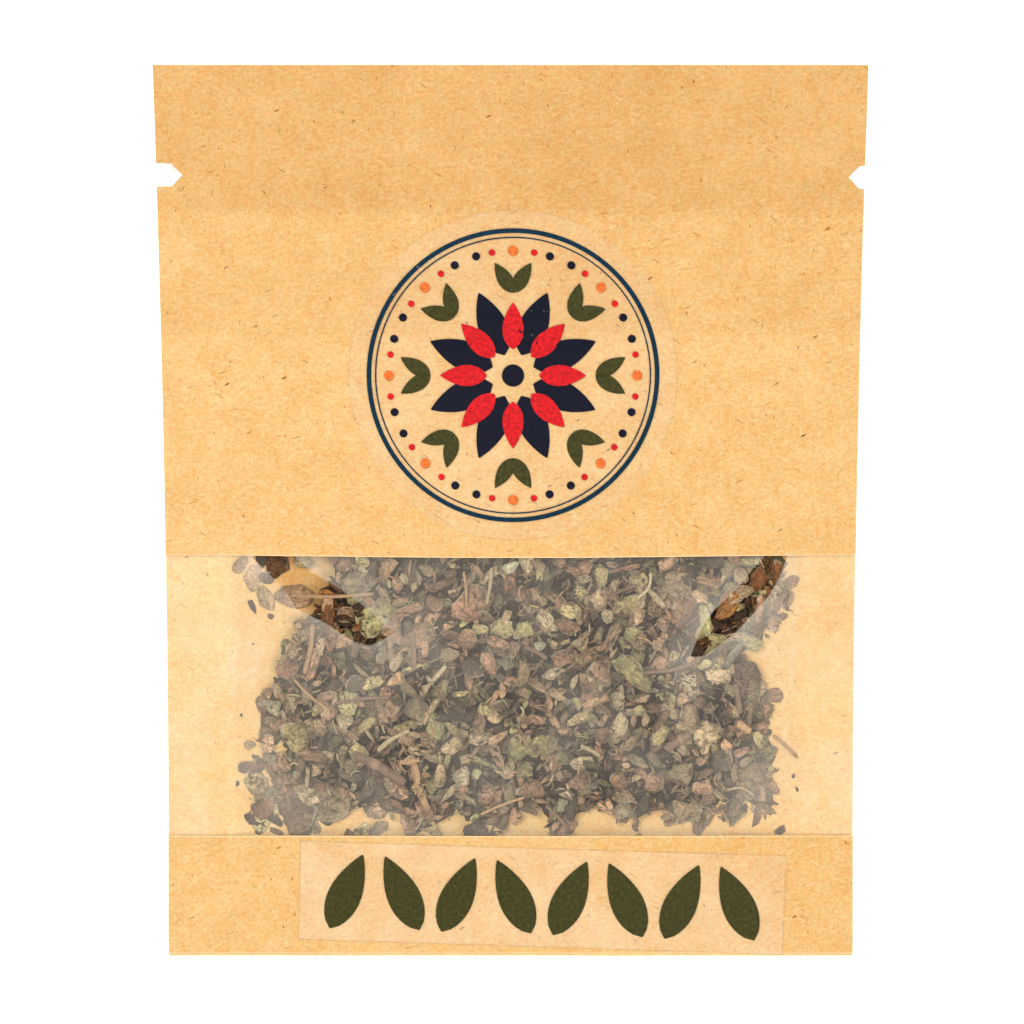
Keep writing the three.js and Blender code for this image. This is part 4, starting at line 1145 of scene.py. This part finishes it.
def stem_tube(pouch, start, end, thick, knot, joint, bend, depth, rng):
    """Points, faces, places and lightness along a bit of stem that lies under the film."""
    sides, rings = 10, 17
    start, end = np.array(start) * MM, np.array(end) * MM
    run = end - start
    share = np.linspace(0, 1, rings)
    side = np.array([-run[1], run[0]])
    bow = bend * 0.25 * np.sin(share * math.pi)
    line = start + share[:, None] * run + bow[:, None] * side
    radius = thick * MM / 2 * (1 + 0.07 * rng.normal(0, 1, rings))
    if knot:
        radius = radius + (knot - thick) * MM / 2 * smoothstep(share, 0.8, 0.93)
    if joint:
        radius = radius + 0.12 * thick * MM * np.exp(-((share - joint) / 0.06) ** 2)
    radius[[0, -1]] *= 0.82
    widest = max(thick, knot) * MM / 2
    height = pouch.film_inner(*line.T) - STEM_UNDER_FILM - widest - depth
    height = np.maximum(height, pouch.back_inner(*line.T) + STEM_OVER_BACK + widest)
    heading = np.gradient(line, axis=0)
    heading /= np.linalg.norm(heading, axis=1)[:, None]
    angle = np.arange(sides) * math.tau / sides
    ridged = 1 + 0.06 * np.cos(angle * 5 + rng.uniform(0, math.tau))
    points, leaf = [], []
    for i in range(rings):
        ring = radius[i] * ridged * (1 + rng.normal(0, 0.02, sides))
        out, up = ring * np.cos(angle), ring * np.sin(angle)
        ragged = rng.normal(0, 0.2, sides) * radius[i] if i in (0, rings - 1) else 0
        points.append(np.column_stack([
            line[i, 0] - heading[i, 1] * out + heading[i, 0] * ragged,
            line[i, 1] + heading[i, 0] * out + heading[i, 1] * ragged, height[i] + up]))
        leaf.append(np.column_stack([np.full(sides, share[i] * np.linalg.norm(run) / MM),
                                     np.cos(angle), np.sin(angle)]))
    faces = []
    for near in range(0, (rings - 1) * sides, sides):
        far = near + sides
        for j in range(sides):
            k = (j + 1) % sides
            faces.append((far + j, far + k, near + k, near + j))
    last = (rings - 1) * sides
    faces += [tuple(range(sides)), tuple(range(last, last + sides))[::-1]]
    tone = 0.5 + rng.uniform(-0.15, 0.15) + 0.04 * rng.normal(0, 1, rings)
    if knot:
        tone = tone - 0.4 * smoothstep(share, 0.78, 0.88)
    if joint:
        tone = tone + 0.7 * np.exp(-((share - joint) / 0.05) ** 2)
    return np.concatenate(points), faces, np.concatenate(leaf), np.repeat(tone, sides)


# ---------------------------------------------------------------- haze and painted glare

# The golden patch in the right seal: its centre, and how far it reaches across and along.
GOLDEN_CENTRE = (32.2 * MM, -9 * MM)
GOLDEN_REACH = (3 * MM, 8 * MM)


def polygon_distance(x, y, outline):
    """Distance to an outline, positive inside it, in the outline's own unit."""
    distance = np.full(x.shape, 1e9)
    for start, end in zip(outline, outline[1:] + outline[:1]):
        distance = np.minimum(distance, distance_to_line(x, y, start, end))
    within = inside(np.stack([x.ravel(), y.ravel()], 1), outline).reshape(x.shape)
    return np.where(within, distance, -distance)


def streak_depth(x, y):
    """How far inside the clear streaks points are, in millimetres."""
    return np.maximum(*[polygon_distance(x / MM, y / MM, s) for s in CLEAR_STREAKS])


def golden_patch(x, y):
    """Where the right seal is deeper in colour, in fine level streaks: from 0 to 1."""
    across = (x - GOLDEN_CENTRE[0]) / GOLDEN_REACH[0]
    along = (y - GOLDEN_CENTRE[1]) / GOLDEN_REACH[1]
    streaks = 0.75 + 0.25 * np.sin(y / (0.3 * MM) + 3 * film_waves(x, y))
    return np.exp(-across ** 2 - along ** 2) * streaks


def painted_glare_veil(pouch, x, y, streak):
    """How strong the painted glare on the film is, as a painted reflection: most over the seals, at the
    pocket's sides and near the clear streaks, less over the golden patch, and with painted highlights
    along creases.
    """
    gap = pouch.gap(x, y)
    veil = 0.055 + 0.05 * (1 - smoothstep(gap, 0.3 * MM, 1.7 * MM))
    veil = veil + 0.1 * np.exp(np.minimum(streak, 0) / 2.4)
    sealed = 1 - smoothstep(gap, 0, 0.5 * MM)
    veil = veil + 0.05 * sealed * film_waves(x, y)
    veil = veil * (1 - golden_patch(x, y))
    # Painted highlight along each crease.
    for start, end, _, width in CREASES:
        near = distance_to_line(x / MM, y / MM, start, end) / (0.6 * width)
        veil = veil + 0.07 * np.exp(-near ** 2)
    return veil * (1 + 0.3 * veil_waves(x, y))


# ---------------------------------------------------------------- print

RING_SIDES = 120
PETALS = 8
# The round sticker's centre and radius, and the oblong one's centre, size and turn.
ROUND_STICKER = ((0.24 * MM, 14.6 * MM), 16.3 * MM)
NAME_STICKER = ((3.2 * MM, -38.75 * MM), 49.5 * MM, 10.4 * MM, -0.032)
# Small dots beside each large one: turn from it, ink and radius in millimetres.
SMALL_DOTS = ((-0.17, "red", 0.32), (0.17, "red", 0.32), (-0.3, "navy", 0.4), (0.3, "navy", 0.4))
# The row of leaves: how many, pitch, length, width and lean to either side.
ROW_LEAVES = 8
ROW_PITCH = 5.7 * MM
ROW_LONG = 8.4 * MM
ROW_WIDE = 3.4 * MM
ROW_LEAN = 0.42
# How high the ink of each colour stands, in hairs.
INK_LEVELS = {"ring": 2, "navy": 2, "red": 3, "leaf_ink": 2, "orange": 3, "label": 2}


def turned(centre, u, v, turn):
    """Points given along and across a turn about a centre."""
    cos, sin = math.cos(turn), math.sin(turn)
    return centre[0] + u * cos - v * sin, centre[1] + u * sin + v * cos


def ring_patch(centre, inner, outer):
    """A flat ring as a net of two rows, closed on itself."""
    angle = np.linspace(0, math.tau, RING_SIDES + 1)[::-1]
    radius = np.array([inner, outer])[:, None]
    return centre[0] + radius * np.cos(angle), centre[1] + radius * np.sin(angle)


def dot_patch(centre, radius):
    u, v = disc_net(np.linspace(-1, 1, 9))
    return centre[0] + u * radius, centre[1] + v * radius


def leaf_patch(foot, size, width, turn):
    """A leaf or petal that points along a turn, widest in its lower half."""
    share = np.linspace(0, 1, 15)
    half = width / 2 * np.sin(share ** 0.8 * math.pi) ** 0.8
    half[[0, -1]] = width * 0.02
    u = np.tile(share * size, (5, 1))
    v = np.linspace(-1, 1, 5)[:, None] * half
    return turned(foot, u, v, turn)


def print_piece(pouch, name, patches, level, material):
    """A thin layer of ink in one colour, laid over the stickers."""
    points, faces, count = [], [], 0
    for x, y in patches:
        ground = pouch.sticker_outer(x, y)
        patch_points, patch_faces = slab(x, y, ground + HAIR / 2, ground + level)
        points.append(patch_points)
        faces += (patch_faces + count).tolist()
        count += len(patch_points)
    new_piece(name, np.concatenate(points), faces, material)


def rosette(centre):
    """Patches of the round sticker's ornament, by ink."""
    def spot(radius, turn):
        return centre[0] + radius * math.cos(turn), centre[1] + radius * math.sin(turn)

    patches = {
        "ring": [ring_patch(centre, 14.05 * MM, 14.5 * MM), ring_patch(centre, 13.55 * MM, 13.68 * MM)],
        "navy": [dot_patch(centre, 1.1 * MM)], "red": [], "leaf_ink": [], "orange": []}
    for i in range(PETALS):
        turn = math.tau * (i + 0.5) / PETALS
        patches["navy"].append(leaf_patch(spot(2.2 * MM, turn), 6.6 * MM, 2.9 * MM, turn))
        turn = math.tau * i / PETALS
        patches["red"].append(leaf_patch(spot(2.6 * MM, turn), 4.6 * MM, 2.1 * MM, turn))
        foot = spot(8.2 * MM, turn)
        for lean in (0.55, -0.55):
            patches["leaf_ink"].append(leaf_patch(foot, 3.4 * MM, 1.5 * MM, turn + lean))
        patches["orange"].append(dot_patch(spot(12.3 * MM, turn), 0.5 * MM))
        for side, ink, size in SMALL_DOTS:
            patches[ink].append(dot_patch(spot(12.3 * MM, turn + side), size * MM))
    return patches


def leaf_row(centre, turn):
    """Patches of the oblong sticker's row of leaves, which lean in turn to either side."""
    patches = []
    for i in range(ROW_LEAVES):
        lean = math.pi / 2 + (ROW_LEAN if i % 2 else -ROW_LEAN)
        middle = turned(centre, (i - (ROW_LEAVES - 1) / 2) * ROW_PITCH, 0, turn)
        foot = turned(middle, -ROW_LONG / 2, 0, lean)
        patches.append(leaf_patch(foot, ROW_LONG, ROW_WIDE, lean))
    return patches


# ---------------------------------------------------------------- operators

def settings():
    """The pouch in the scene's sizes, and the scene's colours."""
    scene = bpy.context.scene
    return Pouch(scene.sachet_sizes), scene.sachet_colours


class SACHET_OT_back(bpy.types.Operator):
    """Back panel of kraft laminate, with its tear notches"""
    bl_idname = "sachet.back"
    bl_label = "Back Panel"

    def execute(self, context):
        pouch, tints = settings()
        step = 0.8 * MM
        net = pouch.panel_net(pouch.rows(-pouch.half_height, pouch.half_height, step), step)
        lining = kraft_material("kraft_inside", tints.kraft_inside, 0.85, 0.2)
        outside = kraft_material("kraft_back", tints.kraft, 1.0)
        piece = new_sheet("back_sheet", net, pouch.back_outer, pouch.back_inner,
                          lining, ["back_panel"], outside)
        sealed = 1 - smoothstep(pouch.gap(*net), 0, 0.3 * MM)
        # Painted shade: the kraft is darker under the clear streaks. It is also a little lighter in the
        # seals and darker over the golden patch.
        shade = 1 + 0.05 * sealed - 0.24 * smoothstep(streak_depth(*net), -0.2, 0.2)
        shade = shade - 0.1 * golden_patch(*net)
        write_attribute(piece, "tone_and_painted_light", [shade, np.ones(shade.shape)])
        return {"FINISHED"}


class SACHET_OT_film(bpy.types.Operator):
    """Clear front film, bare in the window"""
    bl_idname = "sachet.film"
    bl_label = "Window Film"

    def execute(self, context):
        pouch, tints = settings()
        low, high = pouch.window_bottom, pouch.window_top
        coarse, fine = 1.2 * MM, 0.35 * MM
        rows = np.concatenate([pouch.rows(pouch.front_bottom, low, coarse)[:-1],
                               spaced([low, high], fine),
                               pouch.rows(high, pouch.half_height, coarse)[1:]])
        x, y = pouch.panel_net(rows, 0.5 * MM)
        film = clear_material("clear_film", tints.haze, 1, 0.7, True)
        inner_side = clear_underside("film_inside", tints.haze)
        piece = new_sheet("window_film", (x, y), pouch.bare_inner, pouch.bare_outer,
                          film, ["front_film"], inner_side)
        streak = streak_depth(x, y)
        write_attribute(piece, "streak", both_sides(streak))
        write_attribute(piece, "veil", both_sides(painted_glare_veil(pouch, x, y, streak)))
        return {"FINISHED"}


class SACHET_OT_front_kraft(bpy.types.Operator):
    """Kraft strips above and below the window"""
    bl_idname = "sachet.front_kraft"
    bl_label = "Front Kraft"

    def execute(self, context):
        pouch, tints = settings()
        paper = kraft_material("kraft_front", tints.kraft, 1.0)
        strips = {"upper": (pouch.window_top, pouch.half_height),
                  "lower": (pouch.front_bottom, pouch.window_bottom)}
        for name, (low, high) in strips.items():
            net = pouch.panel_net(pouch.rows(low, high, 0.6 * MM), 0.7 * MM)
            new_sheet(f"front_{name}_strip", net, pouch.kraft_inner, pouch.kraft_outer,
                      paper, [f"front_kraft_{name}"])
        return {"FINISHED"}


class SACHET_OT_zip(bpy.types.Operator):
    """Finish of the press-to-close strip inside"""
    bl_idname = "sachet.zip"
    bl_label = "Zip Strips"

    def execute(self, context):
        tints = settings()[1]
        plastic = plastic_material("zip_plastic", tints.plastic)
        for name in ("zip_groove_strip", "zip_rib_strip"):
            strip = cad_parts[name]
            strip.data.materials.clear()
            strip.data.materials.append(plastic)
        return {"FINISHED"}


class SACHET_OT_stickers(bpy.types.Operator):
    """Clear stickers, one round and one oblong"""
    bl_idname = "sachet.stickers"
    bl_label = "Stickers"

    def execute(self, context):
        pouch, tints = settings()
        label = clear_material("sticker_film", tints.label, 0.06, 0.5, False)
        inner_side = clear_underside("sticker_inside", tints.label)

        def under(x, y):
            return pouch.kraft_outer(x, y) + HAIR

        centre, radius = ROUND_STICKER
        u, v = disc_net(spaced([-1, -0.992, 0.992, 1], 0.04))
        net = (centre[0] + u * radius, centre[1] + v * radius)
        piece = new_sheet("round_label", net, under, pouch.sticker_outer, label,
                          ["round_sticker"], inner_side)
        mark_rim(piece, *u.shape)
        centre, width, height, turn = NAME_STICKER
        edge = 0.13 * MM
        stops = [[-size / 2, edge - size / 2, size / 2 - edge, size / 2] for size in (width, height)]
        u, v = np.meshgrid(*[spaced(s, 0.7 * MM) for s in stops])
        piece = new_sheet("name_label", turned(centre, u, v, turn), under, pouch.sticker_outer,
                          label, ["name_sticker"], inner_side)
        mark_rim(piece, *u.shape)
        write_attribute(piece, "veil", np.full(2 * u.size, 2.2))
        return {"FINISHED"}


class SACHET_OT_prints(bpy.types.Operator):
    """Plain ornaments printed on the stickers"""
    bl_idname = "sachet.prints"
    bl_label = "Prints"

    def execute(self, context):
        pouch, tints = settings()
        patches = rosette(ROUND_STICKER[0])
        centre, _, _, turn = NAME_STICKER
        patches["label"] = leaf_row(centre, turn)
        for ink, level in INK_LEVELS.items():
            tint = tints.leaf_ink if ink == "label" else getattr(tints, ink)
            material = ink_material(f"ink_{ink}", tint)
            print_piece(pouch, f"print_{ink}", patches[ink], level * HAIR, material)
        return {"FINISHED"}


class SACHET_OT_herb(bpy.types.Operator):
    """The dried herb: flakes of leaf by colour, over a packed bed painted almost black as the shade under
    them
    """
    bl_idname = "sachet.herb"
    bl_label = "Herb"

    def execute(self, context):
        pouch, tints = settings()
        herb = context.scene.sachet_herb
        for name, gathered in herb_sets(pouch, herb).items():
            material = leaf_material(f"leaf_{name}", getattr(tints, name), tints.cream)
            gathered.piece(f"flakes_{name}", "dried_leaf", material, ["marjoram_heap"])
        self.bed(pouch, tints)
        return {"FINISHED"}

    def bed(self, pouch, tints):
        """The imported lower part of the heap, drawn in from the herb's edge."""
        centre = np.array(BED_CENTRE)
        edge = (np.array(HERB_EDGE) * MM - centre) * BED_DRAWN_IN + centre
        edge[:, 1] = np.maximum(edge[:, 1], BED_LOWEST)
        angle = np.arctan2(*(edge - centre).T[::-1])
        order = np.argsort(angle)
        u, v = disc_net(np.linspace(-1, 1, 110))
        turn = np.arctan2(v, u)
        reach = np.interp(turn, angle[order], np.hypot(*(edge - centre).T)[order], period=math.tau)
        share = np.hypot(u, v) * (0.965 + 0.02 * np.sin(turn * 23) + 0.015 * np.sin(turn * 57))
        x = centre[0] + reach * share * np.cos(turn)
        y = centre[1] + reach * share * np.sin(turn)
        floor = pouch.back_inner(x, y) + OVER_BACK
        ceiling = pouch.film_inner(x, y)
        top = ceiling - BED_DEPTH + BED_RELIEF * bed_lumps(x, y)
        top = np.minimum(top, ceiling - BED_LEAST_DEPTH)
        points, faces = slab(x, y, floor, np.maximum(top, floor + 0.05 * MM))
        material = leaf_material("leaf_bed", tints.rust, tints.brown)
        piece = new_piece("herb_bed", points, faces, material, ["marjoram_heap"])
        scale = 1 / (1.3 * MM)
        write_attribute(piece, "leaf", points * (scale, scale, 0), "FLOAT_VECTOR")
        # Painted shade: the bed is almost black, for the shade between and under the flakes.
        write_attribute(piece, "tone", np.full(len(points), 0.1))


class SACHET_OT_stems(bpy.types.Operator):
    """Bits of dried stem among the flakes"""
    bl_idname = "sachet.stems"
    bl_label = "Stems"

    def execute(self, context):
        pouch, tints = settings()
        rng = np.random.default_rng(STALK_SEED)
        finishes = {name: stem_material(f"stem_{name}", getattr(tints, name)) for name in STEM_MIX}
        for i, (*shape, finish) in enumerate(TWIGS, 1):
            gathered = Gathered()
            gathered.add(*stem_tube(pouch, *shape, 0, rng))
            gathered.piece(f"stem_{i:02}", "dried_stem", finishes[finish], [f"twig_{i:02}"])
        fine = {name: Gathered() for name in finishes}
        for *shape, finish in FINE_STALKS:
            fine[finish].add(*stem_tube(pouch, *shape, 0, rng))
        names, shares = zip(*STEM_MIX.items())
        for _ in range(STALK_TRIES):
            spot = rng.uniform(*STALK_AREA)
            turn, size = rng.uniform(0, math.pi), rng.uniform(0.5, 1.8)
            end = spot + size * np.array([math.cos(turn), math.sin(turn)])
            if not inside([spot, end], HERB_EDGE).all():
                continue
            thick, bend = rng.uniform(0.1, 0.24), rng.uniform(-1.2, 1.2)
            depth = rng.uniform(0.1, 0.6) * MM
            tube = stem_tube(pouch, spot, end, thick, 0, 0, bend, depth, rng)
            fine[rng.choice(names, p=shares)].add(*tube)
        for name, gathered in fine.items():
            gathered.piece(f"stalks_{name}", "dried_stem", finishes[name])
        return {"FINISHED"}


class SACHET_OT_strays(bpy.types.Operator):
    """Flakes that lie away from the heap"""
    bl_idname = "sachet.strays"
    bl_label = "Stray Flakes"

    def execute(self, context):
        pouch = settings()[0]
        rng = np.random.default_rng(STRAY_SEED)
        sets = {}
        thick = context.scene.sachet_herb.flake_thick
        placed_flakes(pouch, sets, rng, STRAYS, 0.03, 1 * MM, thick)
        nodes = [["loose_flake_1"], ["loose_flake_2"]]
        for i, (name, gathered) in enumerate(sets.items()):
            material = bpy.data.materials[f"leaf_{name}"]
            replaced = nodes[i] if i < len(nodes) else ()
            gathered.piece(f"strays_{name}", "dried_leaf", material, replaced)
        return {"FINISHED"}


FLOOR_HALF = 25.0  # half of the floor's side, in metres
SKY_COLOUR = (1, 0.985, 0.96, 1)
# Soft lamps, which point at the sachet: name, place, size and share of the key's power.
LAMPS = (("key", (-0.34, 0.3, 0.62), 0.4, 1), ("fill", (0.4, -0.25, 0.5), 0.4, 0.5))
AIM = (0.14 * MM, 0.84 * MM, 1.8 * MM)  # where the camera looks


class SACHET_OT_stage(bpy.types.Operator):
    """Pale floor, soft light and the camera"""
    bl_idname = "sachet.stage"
    bl_label = "Stage"

    def execute(self, context):
        stage = context.scene.sachet_stage
        self.floor(stage)
        self.lights(context.scene, stage)
        self.camera(context.scene, stage)
        return {"FINISHED"}

    def floor(self, stage):
        mesh = bpy.data.meshes.new("floor")
        corners = [(x * FLOOR_HALF, y * FLOOR_HALF, 0) for x, y in ((-1, -1), (1, -1), (1, 1), (-1, 1))]
        mesh.from_pydata(corners, [], [(0, 1, 2, 3)])
        material, tree, surface = new_material("floor_white")
        end_in_shader(tree, surface, {
            "Base Color": rgba(stage.floor), "Roughness": 0.9, "Specular IOR Level": 0.1,
            "Emission Color": rgba(stage.floor), "Emission Strength": 0.35})
        mesh.materials.append(material)
        floor = bpy.data.objects.new("floor", mesh)
        bpy.context.scene.collection.objects.link(floor)

    def lights(self, scene, stage):
        world = bpy.data.worlds.new("room")
        world.use_nodes = True
        sky = world.node_tree.nodes["Background"]
        sky.inputs["Color"].default_value = SKY_COLOUR
        sky.inputs["Strength"].default_value = stage.sky
        scene.world = world
        for name, spot, size, share in LAMPS:
            light = bpy.data.lights.new(name, "AREA")
            light.size = size
            light.energy = stage.key * share
            lamp = bpy.data.objects.new(name, light)
            lamp.location = spot
            lamp.rotation_euler = (-lamp.location).to_track_quat("-Z", "Y").to_euler()
            scene.collection.objects.link(lamp)

    def camera(self, scene, stage):
        camera = bpy.data.objects.new("camera", bpy.data.cameras.new("camera"))
        camera.data.lens = stage.lens
        camera.data.sensor_width = 36
        camera.data.clip_start = 0.01
        x, y, z = AIM
        camera.location = (x, y + stage.distance * math.sin(stage.tilt),
                           z + stage.distance * math.cos(stage.tilt))
        camera.rotation_euler = (-stage.tilt, 0, 0)
        scene.collection.objects.link(camera)
        scene.camera = camera
        scene.view_settings.view_transform = "Standard"


class SACHET_PT_panel(bpy.types.Panel):
    """Sizes, colours and steps of the sachet"""
    bl_label = "Window Sachet"
    bl_space_type = "VIEW_3D"
    bl_region_type = "UI"
    bl_category = "Sachet"

    def draw(self, context):
        for name, group in GROUPS.items():
            box = self.layout.box()
            box.label(text=name.capitalize())
            for key in group.__annotations__:
                box.prop(getattr(context.scene, f"sachet_{name}"), key)
        for step in STEPS:
            self.layout.operator(step.bl_idname)


GROUPS = {"sizes": SachetSizes, "colours": SachetColours, "herb": SachetHerb, "stage": SachetStage}
STEPS = [SACHET_OT_back, SACHET_OT_film, SACHET_OT_front_kraft, SACHET_OT_zip, SACHET_OT_stickers,
         SACHET_OT_prints, SACHET_OT_herb, SACHET_OT_stems, SACHET_OT_strays, SACHET_OT_stage]


def register():
    for group in [*GROUPS.values(), *STEPS, SACHET_PT_panel]:
        bpy.utils.register_class(group)
    for name, group in GROUPS.items():
        setattr(bpy.types.Scene, f"sachet_{name}", PointerProperty(type=group))


def unregister():
    for name in GROUPS:
        delattr(bpy.types.Scene, f"sachet_{name}")
    for group in reversed([*GROUPS.values(), *STEPS, SACHET_PT_panel]):
        bpy.utils.unregister_class(group)


def main():
    register()
    for step in STEPS:
        group, name = step.bl_idname.split(".")
        getattr(getattr(bpy.ops, group), name)()


if __name__ == "__main__":
    main()
